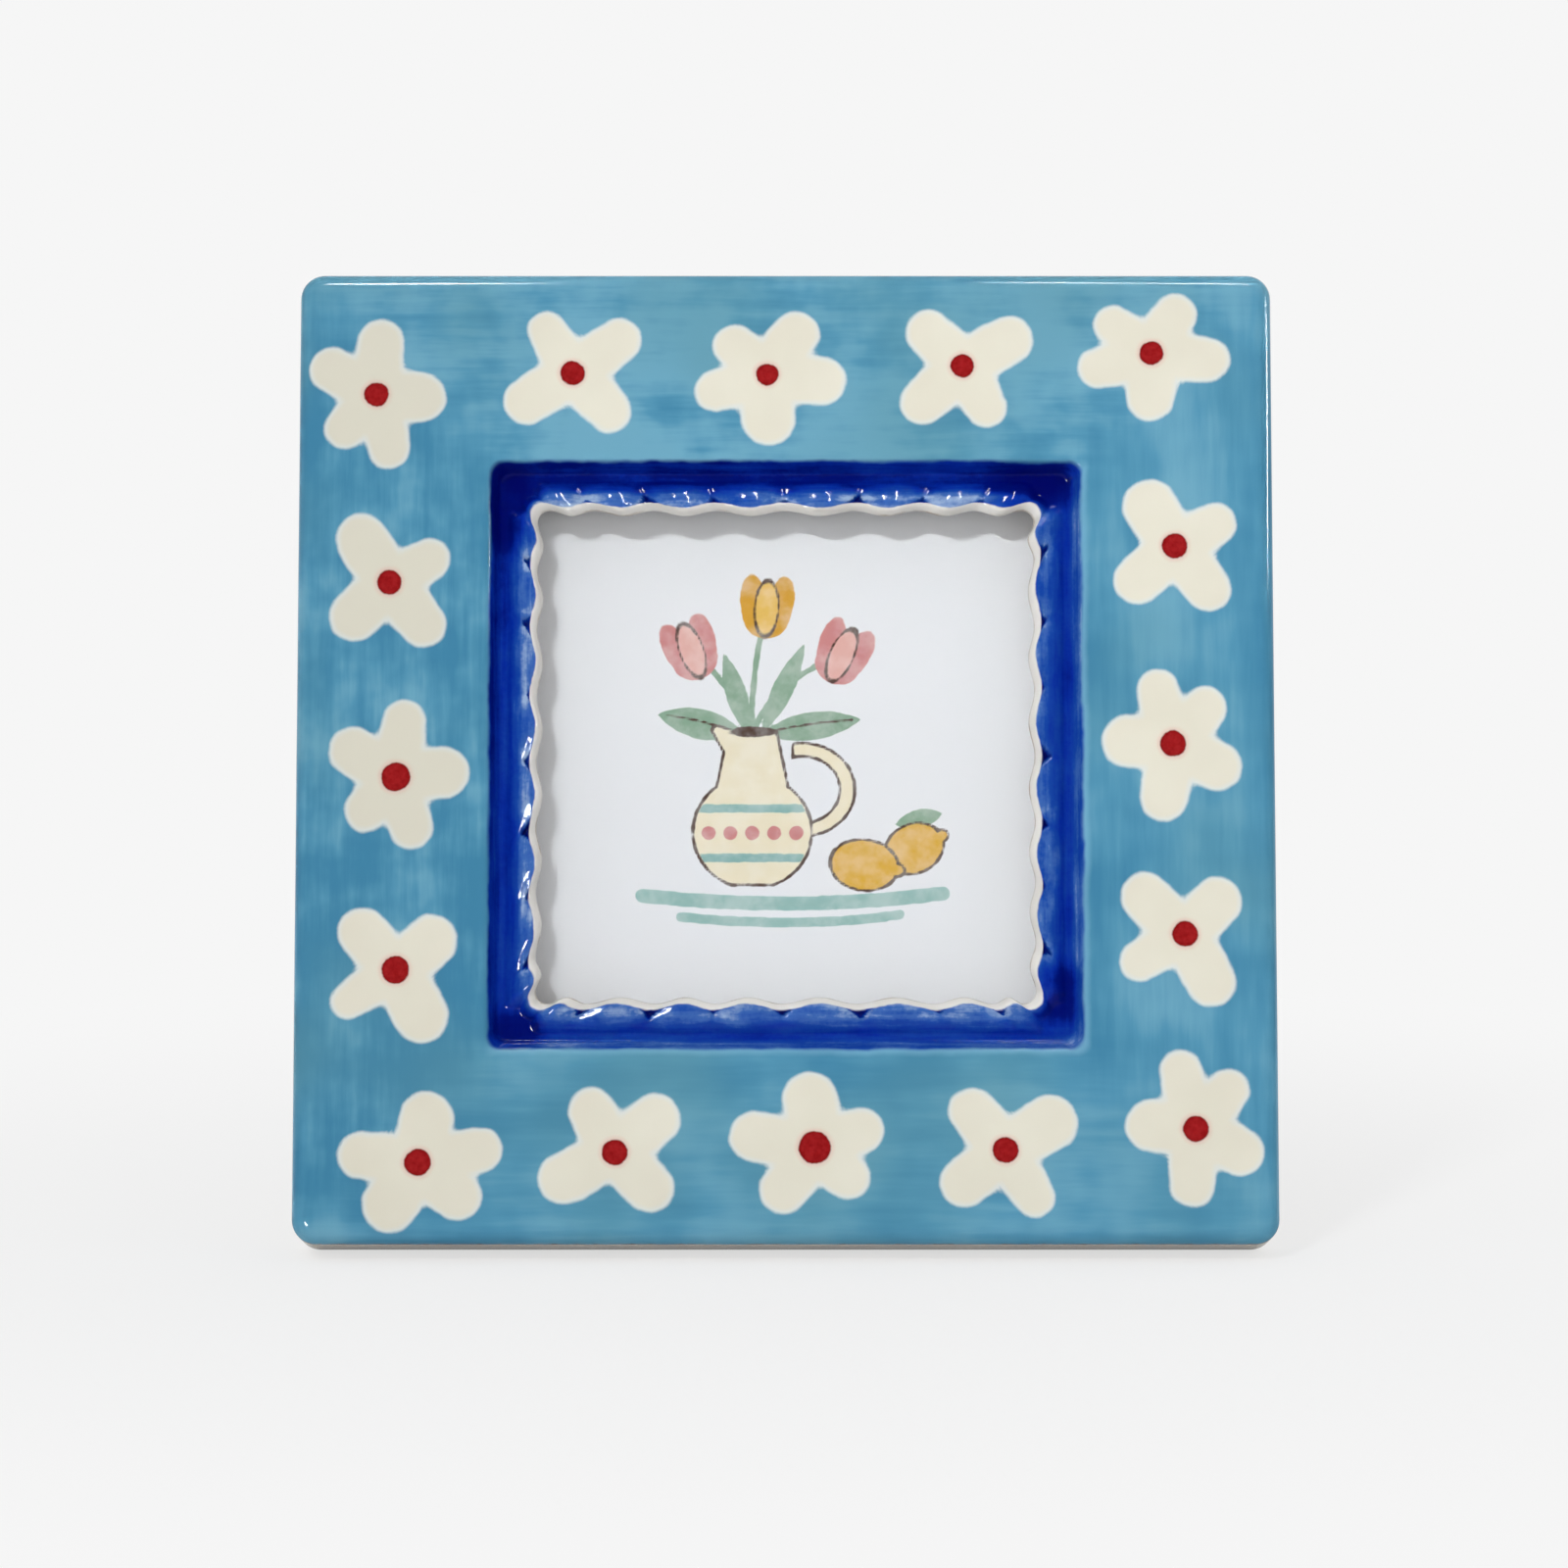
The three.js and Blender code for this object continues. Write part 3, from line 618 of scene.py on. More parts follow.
def flower_distance(flower, x, z):
    """Signed distance to one painted flower, negative inside it."""
    *middle, _, petals = flower
    nearest = np.full(x.shape, FAR)
    for direction, reach, tip in petals:
        length = reach - tip
        along, aside = turned(x, z, middle, direction)
        share = np.clip(along / length, 0, 1)
        width = between(share, PETAL_ROOT, tip) + PETAL_BULGE * np.sin(math.pi * share)
        petal = np.hypot(along - share * length, aside) - width
        nearest = soft_union(nearest, petal, PETAL_FILLET)
    return nearest


def petal_distance(flowers, x, z):
    """Signed distance to the nearest of some painted flowers."""
    return union(*(flower_distance(flower, x, z) for flower in flowers))


def dot_distance(x, z):
    """Signed distance to the nearest red dot."""
    return union(*(np.hypot(x - dot_x, z - dot_z) - radius for dot_x, dot_z, radius, _ in FLOWERS))


def pool_share(x, z):
    """How much brush strokes overlap in the corners of the band."""
    shares = [
        np.exp(-(((x - middle_x) / half_x) ** POOL_POWER) - ((z - middle_z) / half_z) ** POOL_POWER)
        for middle_x, middle_z, half_x, half_z in POOLS
    ]
    return np.maximum.reduce(shares)


def add_object(name, data):
    """A new object in the scene."""
    made = bpy.data.objects.new(name, data)
    bpy.context.scene.collection.objects.link(made)
    return made


def mesh_piece(name, points, faces, maps, layout, material):
    """A piece from points in millimetres, leaned back with the frame."""
    mesh = bpy.data.meshes.new(name)
    mesh.from_pydata((points * MM).tolist(), [], faces)
    mesh.transform(LEANED)
    for attribute, values in maps.items():
        layer = mesh.attributes.new(attribute, "FLOAT", "POINT")
        layer.data.foreach_set("value", np.ascontiguousarray(values, np.float32).ravel())
    bake = mesh.uv_layers.new(name="OFBake")
    bake.data.foreach_set("uv", np.ascontiguousarray(layout, np.float32).ravel())
    mesh.materials.append(material)
    return add_object(name, mesh)


def ring_faces(count, size):
    """Quads between rings that follow one another round a closed loop, each ring closed itself."""
    ring = np.repeat(np.arange(count), size)
    spoke = np.tile(np.arange(size), count)
    next_ring = (ring + 1) % count
    next_spoke = (spoke + 1) % size
    corners = ((ring, spoke), (next_ring, spoke), (next_ring, next_spoke), (ring, next_spoke))
    return np.stack([row * size + column for row, column in corners], axis=1)


def field_sink(outs, x, z, petal):
    """How far the field lies below its highest plane: soft waves, and petals that stand proud."""
    short_waves = np.sin(x / WAVE_SHORT[0] + WAVE_PHASE) * np.cos(z / WAVE_SHORT[1])
    long_waves = np.sin(x / WAVE_LONG[0] - z / WAVE_LONG[1])
    field_end = skin_half - EDGE_RADIUS - LIP_HALF
    run_in = smooth(outs, WALL_END, WALL_END + WAVE_RUN_IN)
    run_out = 1 - smooth(outs, field_end - WAVE_RUN_OUT, field_end)
    waves = FIELD_WAVE * (1 + (short_waves + long_waves) / 2) * run_in * run_out
    return waves + PETAL_RISE * smooth(petal, -PETAL_SHOULDER, PETAL_SHOULDER)


def paint_maps(is_front, outs, depths, x, z, petal):
    """Values at each point that the glazes are mixed by: signed distances in millimetres, and shares."""
    clouds = smooth(outs, *CLOUD_RISE) * (1 - smooth(outs, *CLOUD_FADE)) * cloud_share
    underneath = smooth(-spoke_outwards[:, 1], *LOWER_PAINT_TURN)
    paint_end = between(underneath, SIDE_PAINT_END, LOWER_PAINT_END)
    front_and_behind = {
        "petal": (petal, FAR),
        # painted shade: distance to the upper left flowers, whose ivory is darkened
        "shaded_petal": (petal_distance([FLOWERS[index] for index in SHADED_FLOWERS], x, z), FAR),
        "dot": (dot_distance(x, z), FAR),
        "band": (BAND_WIDTH - outs, -FAR),
        "lip": (LIP_LAND - outs, FAR),
        "clouds": (clouds, 0),
        "bare": (np.where(outs > WALL_END, paint_end - depths, -FAR), FAR),
    }
    maps = {name: np.where(is_front, *values) for name, values in front_and_behind.items()}
    # The tone holds painted light and shade by side, and lit the painted light beside the band's wall
    maps["tone"] = np.array([band_tone(out) for out in outs[:, 0]]) + TONE_POOL * pool_share(x, z)
    maps["lit"] = np.broadcast_to(faces_light, outs.shape)
    past_mitre = {"upright": np.abs(x) - np.abs(z), "upper": z - np.abs(x), "left": -x - np.abs(z)}
    for name, distance in past_mitre.items():
        maps[name] = smooth(distance, -MITRE_BLUR, MITRE_BLUR)
    return maps


def bake_layout(unrolled, faces, front_count):
    """Front spread flat over the whole sheet, with the back drawn small inside its window."""
    size = unrolled.shape[1]
    flat = unrolled.reshape(-1, 2)
    span = 2 * BAKE_MARGIN * np.abs(flat[: front_count * size]).max()
    in_front = (faces[:, 0] // size) < front_count - 1
    scale = np.where(in_front, 1.0, BAKE_BACK_SCALE)[:, None, None]
    return 0.5 + flat[faces] * scale / span


def glazed_frame(material):
    """The ceramic body with its scalloped lip, sunk band and rounded edges."""
    front = list(front_rings())
    rings = front + list(back_rings())
    plans = np.array([square_ring(ring.half, ring.corner) for ring in rings])
    scallops = np.array([ring.scallop * lobe_wave for ring in rings])
    plans = plans - scallops[..., None] * spoke_outwards
    unrolled = np.array([square_ring(ring.reach, ring.corner) for ring in rings])
    outs = np.array([ring.out for ring in rings])[:, None] * np.ones(len(spoke_lobes))
    depths = np.array([ring.depths for ring in rings])
    is_front = np.arange(len(rings))[:, None] < len(front)
    x = unrolled[..., 0]
    z = unrolled[..., 1]
    petal = petal_distance(FLOWERS, x, z)
    depths = depths - np.where(is_front & (outs > WALL_END), field_sink(outs, x, z, petal), 0)
    points = np.stack((plans[..., 0], -depths, plans[..., 1] + frame_half), axis=-1).reshape(-1, 3)
    faces = ring_faces(len(rings), len(spoke_lobes))
    maps = paint_maps(is_front, outs, depths, x, z, petal)
    layout = bake_layout(unrolled, faces, len(front))
    glazed = mesh_piece("glazed_frame", points, faces.tolist(), maps, layout, material)
    glazed.data.shade_smooth()
    return glazed


# Printed picture: signed distances of a still life
def oval(x, z, middle, radii, tilt=0.0):
    """An ellipse, turned by some degrees."""
    along, aside = turned(x, z, middle, tilt)
    return (np.hypot(along / radii[0], aside / radii[1]) - 1) * min(radii)


def taper(x, z, start, end, start_radius, end_radius):
    """A stroke that runs straight from start to end and changes width evenly."""
    run = np.array(end) - np.array(start)
    share = np.clip(((x - start[0]) * run[0] + (z - start[1]) * run[1]) / (run @ run), 0, 1)
    gap = np.hypot(x - start[0] - share * run[0], z - start[1] - share * run[1])
    return gap - between(share, start_radius, end_radius)


def curve(x, z, start, control, end, radius):
    """A brush stroke of even width along a bent line."""
    start, control, end = np.array((start, control, end), float)
    shares = np.linspace(0, 1, CURVE_STEPS + 1)[:, None]
    line = (1 - shares) ** 2 * start + 2 * shares * (1 - shares) * control + shares**2 * end
    return union(*(taper(x, z, first, last, radius, radius) for first, last in zip(line[:-1], line[1:])))


def leaf(x, z, start, end, width):
    """A pointed leaf between two points: the overlap of two circles."""
    middle = (np.array(start) + np.array(end)) / 2
    run = np.array(end) - np.array(start)
    length = np.hypot(*run)
    radius = (length**2 / 4 + width**2) / (2 * width)
    aside = np.array((-run[1], run[0])) / length * (radius - width)
    centres = (middle - aside, middle + aside)
    return overlap(*(np.hypot(x - centre[0], z - centre[1]) - radius for centre in centres))


def outline(distance, half):
    """A line along the edge of a shape, by half its width."""
    return np.abs(distance) - half


def tulip(x, z, middle, tilt):
    """Outer and middle petals of a cup-shaped flower."""
    along, up = turned(x, z, middle, tilt)
    petals = [oval(along, up, (2.7 * side, 0.4), (2.9, 6.4), -10 * side) for side in (-1, 1)]
    cup = oval(along, up, (0, -2.2), (4.9, 4.6))
    return union(*petals, cup), oval(along, up, (0, -0.4), (2.5, 6.0))


def jug_shapes(x, z):
    """A jug's body, its handle, two bands round it and the spots between them."""
    belly = oval(x, z, (-7, -13), (12.5, 12))
    throat = overlap(taper(x, z, (-7, -6), (-7, 8), 8, 5.2), z - 8.5)
    spout = taper(x, z, (-10, 5), (-14.5, 8.6), 3.4, 1.0)
    jug = overlap(union(belly, throat, spout), -24.2 - z)
    handle = overlap(outline(oval(x, z, (3.5, -4), (9.5, 8.5)), 1.4), 1.5 - x)
    bands = overlap(jug + 0.4, union(outline(z + 8.0, 0.9), outline(z + 18.5, 0.9)))
    spots = [oval(x, z, (place, -13.2), (1.5, 1.5)) for place in np.linspace(-16.2, 2.2, 5)]
    return jug, handle, bands, union(*spots)


def picture_layers(x, z):
    """A jug of tulips beside two lemons on a cloth, as layers in the order that they are painted."""
    cloth = union(
        curve(x, z, (-30, -26.5), (2, -30), (33, -26), 1.5),
        curve(x, z, (-22, -31), (4, -33.5), (24, -30.5), 1.0),
    )
    heads = (((-20, 26), 20), ((-4, 35), -4), ((12, 25), -24))
    blooms = [tulip(x, z, head, tilt) for head, tilt in heads]
    stems = [curve(x, z, (-7, 7), (-7 + 0.2 * head[0], 18), head, 0.6) for head, _ in heads]
    blades = (
        ((-9, 8), (-27, 12), 3.2),
        ((-5, 8), (16, 11), 3.0),
        ((-8, 8), (-13, 25), 2.2),
        ((-5, 8), (4, 27), 2.2),
        ((23, -11.5), (33, -9), 2.0),
    )
    leaves = [leaf(x, z, *blade) for blade in blades]
    jug, handle, bands, spots = jug_shapes(x, z)
    lemons = [
        union(oval(x, z, (27, -16.5), (6.4, 5.2), 25), oval(x, z, (32.6, -13.9), (1.6, 1.3), 25)),
        union(oval(x, z, (16.5, -20), (7.2, 5.4), -8), oval(x, z, (23.3, -21), (1.7, 1.4), -8)),
    ]
    lines = [
        outline(jug, 0.32),
        overlap(outline(handle, 0.3), -jug),
        oval(x, z, (-7, 8.3), (5.0, 1.1)),
        outline(lemons[1], 0.28),
        overlap(outline(lemons[0], 0.28), -lemons[1]),
        *(outline(heart, 0.22) for _, heart in blooms),
        curve(x, z, (-9, 8), (-18, 11), (-25, 11.8), 0.25),
        curve(x, z, (-5, 8), (6, 10.5), (14, 10.8), 0.25),
    ]
    return {
        "cloth": (cloth, srgb(150, 188, 184)),
        "leaves": (union(*stems, *leaves), srgb(138, 168, 146)),
        "jug": (union(jug, handle), srgb(236, 226, 200)),
        "bands": (bands, srgb(136, 180, 176)),
        "spots": (spots, srgb(206, 138, 138)),
        "side_blooms": (union(blooms[0][0], blooms[2][0]), srgb(205, 138, 138)),
        "side_hearts": (union(blooms[0][1], blooms[2][1]), srgb(226, 178, 170)),
        "top_bloom": (blooms[1][0], srgb(214, 162, 62)),
        "top_heart": (blooms[1][1], srgb(230, 190, 100)),
        "lemons": (union(*lemons), srgb(220, 174, 72)),
        "lines": (union(*lines), srgb(84, 62, 54)),
    }


def printed_picture():
    """The paper sheet with a still life printed on its front."""
    half = print_high[0]
    size = PICTURE_STEPS + 1
    ticks = np.linspace(-half, half, size)
    grid_x, grid_z = (places.ravel() for places in np.meshgrid(ticks, ticks))
    layers = picture_layers(grid_x / DESIGN_SCALE, (grid_z + DESIGN_DROP) / DESIGN_SCALE)
    index = np.arange(size * size).reshape(size, size)
    corners = (index[:-1, :-1], index[:-1, 1:], index[1:, 1:], index[1:, :-1])
    quads = np.stack(corners, axis=-1).reshape(-1, 4)
    rim = np.concatenate((index[0, :-1], index[:-1, -1], index[-1, :0:-1], index[:0:-1, 0]))
    front = np.stack((grid_x, np.full(grid_x.shape, print_low[1]), grid_z + frame_half), axis=1)
    behind = front[rim] + np.array((0, print_high[1] - print_low[1], 0))
    back = len(front) + np.arange(len(rim))
    sides = np.stack((rim, back, np.roll(back, -1), np.roll(rim, -1)), axis=1)
    faces = quads.tolist() + sides.tolist() + [back[::-1].tolist()]
    unprinted = np.full(len(rim), FAR)
    maps = {name: np.concatenate((distance, unprinted)) for name, (distance, _) in layers.items()}
    printed = BAKE_PICTURE_MIDDLE + BAKE_PICTURE_HALF * np.stack((grid_x, grid_z), axis=1) / half
    spare = np.full((sides.size + len(back), 2), BAKE_SPARE)
    layout = np.concatenate((printed[quads].reshape(-1, 2), spare))
    points = np.concatenate((front, behind))
    return mesh_piece("printed_picture", points, faces, maps, layout, paper_finish(layers))


# Materials
def brush_marks(finish):
    """Noises that the glazes share: broad clouds and patches, uneven edges and brush strokes."""
    upright = finish.attribute("upright")
    return SimpleNamespace(
        cloud=finish.noise(46, shift=5.0),
        patch=finish.noise(17, shift=1.0),
        drift=finish.centred(finish.noise(7.0, shift=6.0)),
        wobble=finish.centred(finish.noise(2.4, shift=4.0)),
        fine=finish.noise(0.9, roughness=0.6, shift=2.0),
        streak=finish.strokes(upright, 5.0, 9),
        brush=finish.strokes(upright, 1.5, 12),
    )


def field_paint(finish, marks, band):
    """Light blue, least even above and on the left and lighter along the top, with painted shade
    darkening the left side and painted light paling the field beside the band's wall where it faces the
    light.
    """
    upper = finish.attribute("upper")
    left = finish.attribute("left")
    uneven = finish.math("MAXIMUM", upper, left)
    share = finish.total(
        (marks.streak, 0.45),
        (marks.patch, 0.75),
        (marks.brush, 0.2),
        (upper, 0.1),
        # painted shade: the field darker on the left side
        (left, -0.08),
        (finish.math("MULTIPLY", finish.centred(marks.brush), uneven), 0.2),
        (finish.math("MULTIPLY", marks.drift, uneven), 0.5),
    )
    blues = ((0.0, srgb(66, 129, 162)), (0.5, srgb(84, 147, 177)), (1.0, srgb(110, 166, 190)))
    colour = finish.ramp(finish.step(share, 0.46, 0.96), blues)
    greenish = srgb(94, 148, 164)
    colour = finish.mix(finish.step(marks.cloud, 0.45, 0.7, 0.0, 0.55), colour, greenish)
    # Painted light: a paler strip of field beside the band's wall on the sides that face the light
    lit = finish.step(finish.attribute("lit"), 0.3, 1.0)
    painted_verge_light = finish.math("MULTIPLY", finish.step(band, -1.6, -0.3, 0.0, 0.55), lit)
    verge_light_blue = srgb(128, 180, 208)
    return finish.mix(painted_verge_light, colour, verge_light_blue)


def cobalt_paint(finish, marks):
    """Cobalt as thick as the mesh says, with the painted light and shade by side that its tone holds,
    uneven by its strokes and thin in clouds behind the lip.
    """
    cloudy = finish.step(finish.noise(5.0, 3.0, 0.6), 0.42, 0.62)
    tone = finish.attribute(
        "tone",
        (finish.centred(marks.brush), 0.7),
        (finish.centred(marks.streak), 0.5),
        (finish.centred(marks.fine), 0.2),
        (marks.drift, 0.45),
        (finish.math("MULTIPLY", finish.attribute("clouds"), cloudy), -0.3),
    )
    blues = (
        (0.0, srgb(150, 174, 208)),
        (0.15, srgb(64, 106, 178)),
        (0.31, srgb(24, 70, 164)),
        (0.53, srgb(6, 44, 156)),
        (0.72, srgb(0, 18, 116)),
        (0.98, srgb(0, 6, 98)),
    )
    return finish.ramp(finish.math("MULTIPLY", tone, 0.7), blues)


def lip_paint(finish, marks, lip):
    """Cream, with brown patches along the window's edge and on its wall."""
    cream = finish.ramp(marks.patch, ((0.3, srgb(214, 212, 207)), (0.7, srgb(224, 222, 218))))
    at_edge = finish.step(lip, LIP_LAND - 0.3, LIP_LAND)
    brown_patches = finish.math("MULTIPLY", at_edge, finish.step(marks.drift, -0.1, 0.12, 0.0, 0.6))
    brown = srgb(150, 128, 104)
    return finish.mix(brown_patches, cream, brown)


def petal_paint(finish, marks, petal):
    """Ivory, darkened as painted shade on the upper left flowers, with the blue showing through along the
    edge.
    """
    ivory = finish.ramp(marks.patch, ((0.3, srgb(223, 218, 201)), (0.7, srgb(229, 225, 209))))
    # Painted shade: the upper left flowers in a darker ivory
    shaded_ivory = srgb(217, 213, 197)
    ivory = finish.mix(finish.step(finish.attribute("shaded_petal"), 2.0, 1.0), ivory, shaded_ivory)
    bluish = srgb(214, 227, 235)
    return finish.mix(finish.step(petal, -1.2, -0.1, 0.0, 0.45), ivory, bluish)


def dot_paint(finish, marks, dot):
    """Red, darker round the rim where it has pooled."""
    red = finish.ramp(marks.fine, ((0.3, srgb(140, 20, 22)), (0.7, srgb(162, 32, 34))))
    dark_red = srgb(112, 12, 14)
    return finish.mix(finish.step(dot, -0.6, 0.0, 0.0, 0.7), red, dark_red)


def glaze_finish():
    """Glossy coats brushed on a cream body, one over another from the field to the dots."""
    finish = Finish("painted_glaze", {"Specular IOR Level": 0.2, "IOR": 1.5})
    marks = brush_marks(finish)
    band = finish.attribute("band", (marks.drift, 1.1), (marks.wobble, 0.25))
    lip = finish.attribute("lip", (marks.wobble, 0.5))
    petal = finish.attribute("petal", (marks.drift, 1.0), (marks.wobble, 0.4))
    dot = finish.attribute("dot", (marks.wobble, 0.5))
    bare = finish.attribute("bare", (marks.wobble, 2.0))
    in_petal = finish.step(petal, 0.4, -0.4)
    in_dot = finish.step(dot, 0.18, -0.18)
    pink_halo = srgb(222, 160, 150)
    brown_line = srgb(92, 62, 48)
    body = finish.ramp(marks.fine, ((0.25, srgb(214, 204, 186)), (0.6, srgb(231, 224, 210))))
    coats = (
        (finish.step(band, -0.4, 0.4), cobalt_paint(finish, marks)),
        (finish.step(lip, -0.2, 0.15), lip_paint(finish, marks, lip)),
        (in_petal, petal_paint(finish, marks, petal)),
        (finish.step(dot, 1.0, 0.1, 0.0, 0.3), pink_halo),
        (in_dot, dot_paint(finish, marks, dot)),
        (finish.step(bare, -0.9, -0.3), brown_line),
        (finish.step(bare, -0.1, 0.4), body),
    )
    colour = field_paint(finish, marks, band)
    for share, coat in coats:
        colour = finish.mix(share, colour, coat)
    ripple = finish.math("MULTIPLY", finish.noise(1.6, shift=7.0), finish.step(band, -0.5, 0.5))
    relief = None
    for height, rise in ((marks.streak, 0.03), (ripple, 0.03), (in_petal, 0.03), (in_dot, 0.04)):
        relief = finish.bump(height, rise, relief)
    roughness = finish.step(marks.fine, 0.2, 0.8, 0.04, 0.08)
    return finish.done(Base_Color=colour, Roughness=roughness, Normal=relief)


def paper_finish(layers):
    """Matt paper with the picture's layers printed over one another in a watercolour wash."""
    finish = Finish("printed_paper", {"Roughness": 0.8, "Specular IOR Level": 0.1})
    wash = finish.step(finish.noise(5.0, 3.0, 0.6), 0.35, 0.7)
    grain = finish.noise(0.35, shift=2.0)
    ragged = finish.centred(finish.noise(1.4, shift=1.0))
    colour = finish.ramp(grain, ((0.3, srgb(234, 235, 239)), (0.7, srgb(238, 239, 243))))
    for name, (_, paint) in layers.items():
        thinner = tuple(between(0.22, level, 1.0) for level in paint)
        distance = finish.attribute(name, (ragged, 0.5))
        colour = finish.mix(finish.step(distance, 0.14, -0.14), colour, finish.mix(wash, paint, thinner))
    return finish.done(Base_Color=colour, Normal=finish.bump(grain, 0.01))


def glass_finish():
    """Clear pane: see-through, with a thin reflection that grows at a slant."""
    finish = Finish("clear_glass", {})
    clear = finish.node("BsdfTransparent", inputs={"Color": (0.996, 0.998, 0.997, 1.0)})
    gloss = finish.node("BsdfGlossy", inputs={"Roughness": 0.02})
    facing = finish.node("LayerWeight").outputs["Facing"]
    slant = finish.math("POWER", facing, GLASS_SLANT_POWER)
    share = finish.math("ADD", finish.math("MULTIPLY", slant, 1 - GLASS_GLOSS), GLASS_GLOSS)
    finish.show("Material Output", share, clear, gloss)
    finish.tree.nodes.remove(finish.shader)
    return finish.material


def flock_finish():
    """Dark flocked face: short fibres that lie in patches, with a soft sheen."""
    sheen = {"Sheen Weight": 0.35, "Sheen Roughness": 0.5}
    finish = Finish("dark_flock", {"Roughness": 0.95, "Specular IOR Level": 0.1, **sheen})
    fibre = finish.noise(0.35, 3.0, 0.7)
    nap = finish.noise(14, 3.0, 0.55, shift=2.0)
    dark = finish.ramp(fibre, ((0.25, srgb(20, 21, 25)), (0.75, srgb(52, 53, 60))))
    brushed = finish.mix(finish.step(nap, 0.42, 0.66, 0.0, 0.22), dark, srgb(72, 74, 82))
    return finish.done(Base_Color=brushed, Normal=finish.bump(fibre, 0.12))


def card_finish():
    """Raw grey card with flecks of fibre."""
    finish = Finish("grey_card", {"Roughness": 0.9, "Specular IOR Level": 0.15})
    fleck = finish.noise(0.8, 3.0, 0.7, stretch=(3, 1, 1))
    colour = finish.ramp(fleck, ((0.3, srgb(142, 130, 110)), (0.7, srgb(176, 165, 146))))
    return finish.done(Base_Color=colour, Normal=finish.bump(fleck, 0.03))


def metal_finish(name, bright, dull, roughness):
    """Plated sheet metal: fine lines from rolling and a dulled film in patches."""
    finish = Finish(name, {"Metallic": 1.0})
    line = finish.noise(0.12, roughness=0.6, stretch=(1, 40, 40))
    film = finish.noise(3.5, 3.0, 0.6, shift=3.0)
    colour = finish.mix(finish.step(film, 0.45, 0.72, 0.0, 0.35), bright, dull)
    dulled = finish.step(film, 0.3, 0.75, roughness, roughness + 0.16)
    rough = finish.total((dulled, 1.0), (line, 0.08))
    return finish.done(Base_Color=colour, Roughness=rough, Normal=finish.bump(line, 0.008))


def nylon_finish():
    """Natural nylon, slightly cloudy."""
    finish = Finish("natural_nylon", {"Roughness": 0.45, "Subsurface Weight": 0.1})
    cloud = finish.noise(1.6)
    colour = finish.ramp(cloud, ((0.3, srgb(208, 202, 186)), (0.7, srgb(224, 219, 205))))
    return finish.done(Base_Color=colour)


def dress(word, material, edge):
    """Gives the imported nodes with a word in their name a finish, and rounds their sharp edges."""
    for node in [node for name, node in nodes.items() if word in name]:
        node.data.materials.clear()
        node.data.materials.append(material)
        node.data.shade_smooth()
        weld = node.modifiers.new("weld", "WELD")
        weld.merge_threshold = WELD_DISTANCE * MM
        flats = node.modifiers.new("flats", "DECIMATE")
        flats.decimate_type = "DISSOLVE"
        flats.angle_limit = FLAT_ANGLE
        bevel = node.modifiers.new("bevel", "BEVEL")
        bevel.width = edge * MM
        bevel.segments = BEVEL_SEGMENTS
        bevel.limit_method = "ANGLE"
        bevel.angle_limit = BEVEL_ANGLE
        node.modifiers.new("normals", "WEIGHTED_NORMAL")


# Stage: floor, light and camera
def make_world():
    """A pale surround to look at, dim in the gloss where the camera stands, and a fill to light by."""
    world = bpy.data.worlds.new("studio")
    world.use_nodes = True
    bpy.context.scene.world = world
    maker = NodeMaker(world.node_tree)
    outlook = maker.node("TexCoord").outputs["Generated"]
    towards = Vector(OPENING_DIRECTION).normalized()
    facing = maker.node("VectorMath", {"operation": "DOT_PRODUCT"}, {0: outlook, 1: towards})
    opening = maker.step(facing.outputs["Value"], *OPENING_EDGES, 1.0, OPENING_LEVEL)
    level = maker.mix(maker.light_path("Is Glossy Ray"), 1.0, opening, "FLOAT")
    pale = maker.node("Background", inputs={"Color": srgb(*BACKGROUND), "Strength": level})
    fill = world.node_tree.nodes["Background"]
    fill.inputs["Color"].default_value = (1.0, 1.0, 1.0, 1.0)
    fill.inputs["Strength"].default_value = FILL_LEVEL
    maker.show("World Output", maker.seen_directly(), fill, pale)


def floor_finish():
    """Pale floor that darkens in the frame's shadow and glows as the surround does further off."""
    constants = {"Base Color": srgb(*FLOOR_COLOUR), "Roughness": 0.9, "Specular IOR Level": 0.0}
    finish = Finish("pale_floor", constants)
    distance = finish.node("VectorMath", {"operation": "LENGTH"}, {0: finish.place})
    shadow_start, shadow_end = (reach * MM for reach in SHADOW_REACH)
    paleness = finish.step(distance.outputs["Value"], shadow_start, shadow_end, SHADOW_GLOW, 1.0)
    along = finish.node("SeparateXYZ", inputs={0: finish.place}).outputs["Y"]
    in_front = finish.step(along, MIRROR_EDGE * MM, -MIRROR_EDGE * MM)
    mirrored = finish.math("MULTIPLY", in_front, finish.light_path("Is Glossy Ray"))
    level = finish.mix(mirrored, 1.0, MIRROR_LEVEL, "FLOAT")
    glow = finish.node("Emission", inputs={"Color": srgb(*BACKGROUND), "Strength": level})
    share = finish.math("MULTIPLY", paleness, finish.seen_directly())
    finish.show("Material Output", share, finish.shader, glow)
    return finish.material


def make_floor():
    """A square floor under the frame."""
    mesh = bpy.data.meshes.new("floor")
    signs = ((-1, -1), (1, -1), (1, 1), (-1, 1))
    corners = [(x * FLOOR_HALF * MM, y * FLOOR_HALF * MM, 0) for x, y in signs]
    mesh.from_pydata(corners, [], [range(len(corners))])
    mesh.materials.append(floor_finish())
    floor = add_object("floor", mesh)


def aim(thing, place, target):
    """Puts a lamp or the camera at a place and points it at a target."""
    thing.location = place
    thing.rotation_euler = (target - place).to_track_quat("-Z", "Y").to_euler()


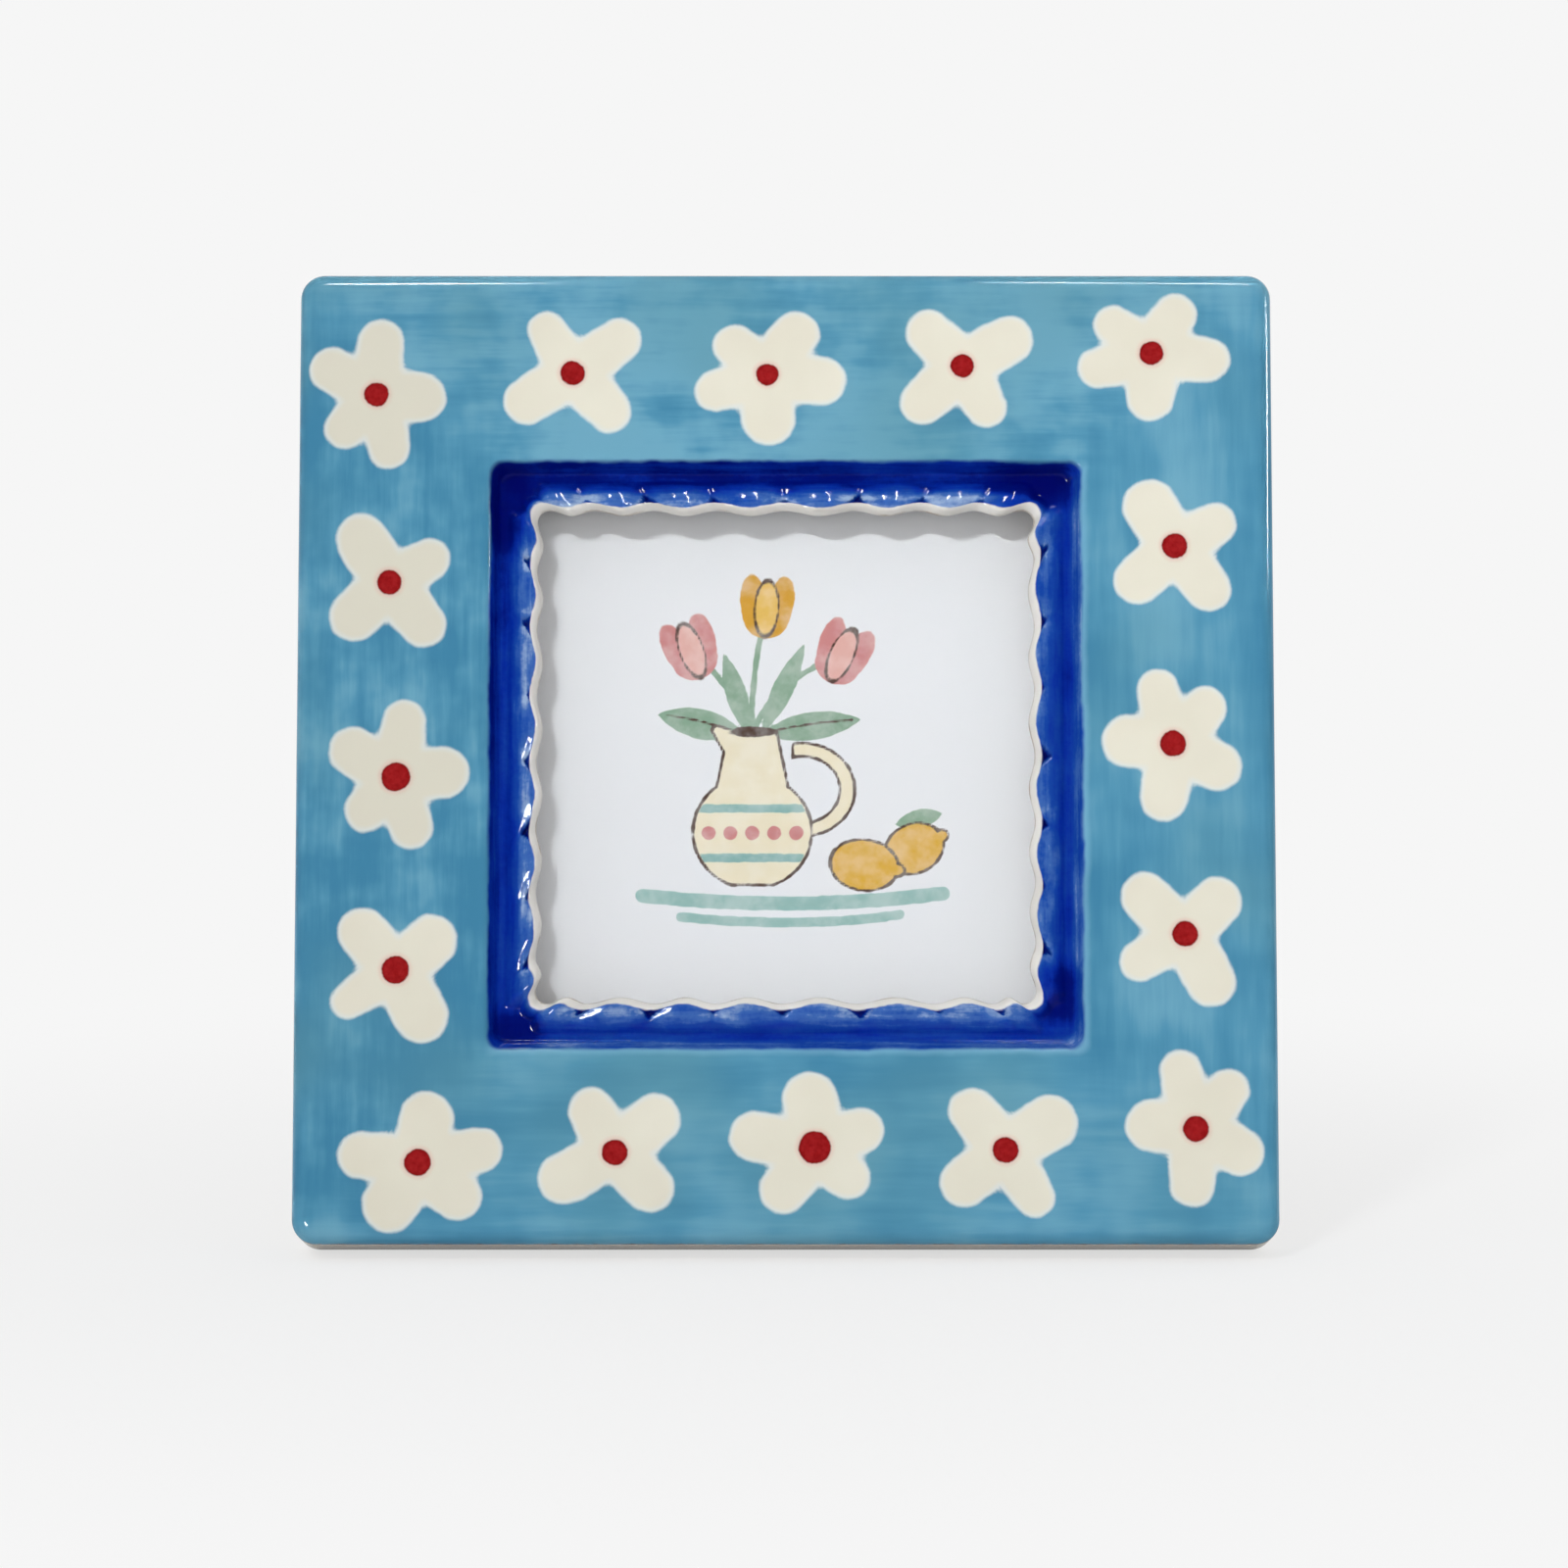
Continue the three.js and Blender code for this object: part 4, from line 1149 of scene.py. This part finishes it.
def make_lamp(name, middle, direction, distance, size, watts, target):
    """A rectangular lamp in a direction of the frame's upright axes."""
    data = bpy.data.lights.new(name, "AREA")
    data.shape = "RECTANGLE"
    data.size = size[0] * MM
    data.size_y = size[1] * MM
    data.energy = watts
    lamp = add_object(name, data)
    towards = Matrix.Rotation(-lean, 3, "X") @ Vector(direction).normalized()
    aim(lamp, middle + towards * distance * MM, target)
    return lamp


def make_lights(middle):
    """A soft lamp from the upper left, strongest on the right, and lamps that only show in the gloss."""
    target = middle + Vector((KEY_AIM[0], 0, KEY_AIM[1])) * MM
    key = make_lamp("key", middle, KEY_DIRECTION, KEY_DISTANCE, KEY_SIZE, KEY_WATTS, target)
    key.data.spread = KEY_SPREAD
    key.visible_glossy = False
    for index, (direction, size, watts) in enumerate(GLINT_LAMPS):
        glint = make_lamp(f"glint_{index}", middle, direction, GLINT_DISTANCE, size, watts, middle)
        glint.visible_diffuse = False


def make_camera(middle):
    """A long lens in front of the frame, a little above the table."""
    data = bpy.data.cameras.new("camera")
    data.sensor_width = SENSOR
    data.lens = SENSOR * CAMERA_DISTANCE / VIEW_SPAN
    camera = add_object("camera", data)
    target = middle + Vector((AIM_SHIFT[0], 0, AIM_SHIFT[1])) * MM
    away = Vector((0, -math.cos(CAMERA_ELEVATION), math.sin(CAMERA_ELEVATION)))
    aim(camera, target + away * CAMERA_DISTANCE * MM, target)
    bpy.context.scene.camera = camera


bpy.context.scene.view_settings.view_transform = "Standard"

glazed = glazed_frame(glaze_finish())
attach(glazed, "frame")
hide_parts("ceramic_frame")

picture = printed_picture()
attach(picture, "frame")
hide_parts("picture_print")

brass = metal_finish("brassed_steel", srgb(206, 170, 98), srgb(150, 116, 62), roughness=0.24)
zinc = metal_finish("zinc_steel", srgb(196, 199, 204), srgb(138, 141, 146), roughness=0.26)
flock = flock_finish()
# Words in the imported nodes' names, with a finish and the radius of their edges
for word, material, edge in (
    ("glass_pane", glass_finish(), 0.15),
    ("filler_card", card_finish(), 0.1),
    ("backing_board", flock, 0.3),
    ("strut_leg", flock, 0.3),
    ("hinge_", brass, 0.12),
    ("rivet", brass, 0.1),
    ("turn_button", zinc, 0.12),
    ("button_screw", zinc, 0.08),
    ("screw_plug", nylon_finish(), 0.1),
):
    dress(word, material, edge)

face_middle = LEANED @ Vector((0, -skin_depth * MM, frame_half * MM))
make_world()
make_floor()
make_lights(face_middle)
make_camera(face_middle)

bpy.context.view_layer.update()
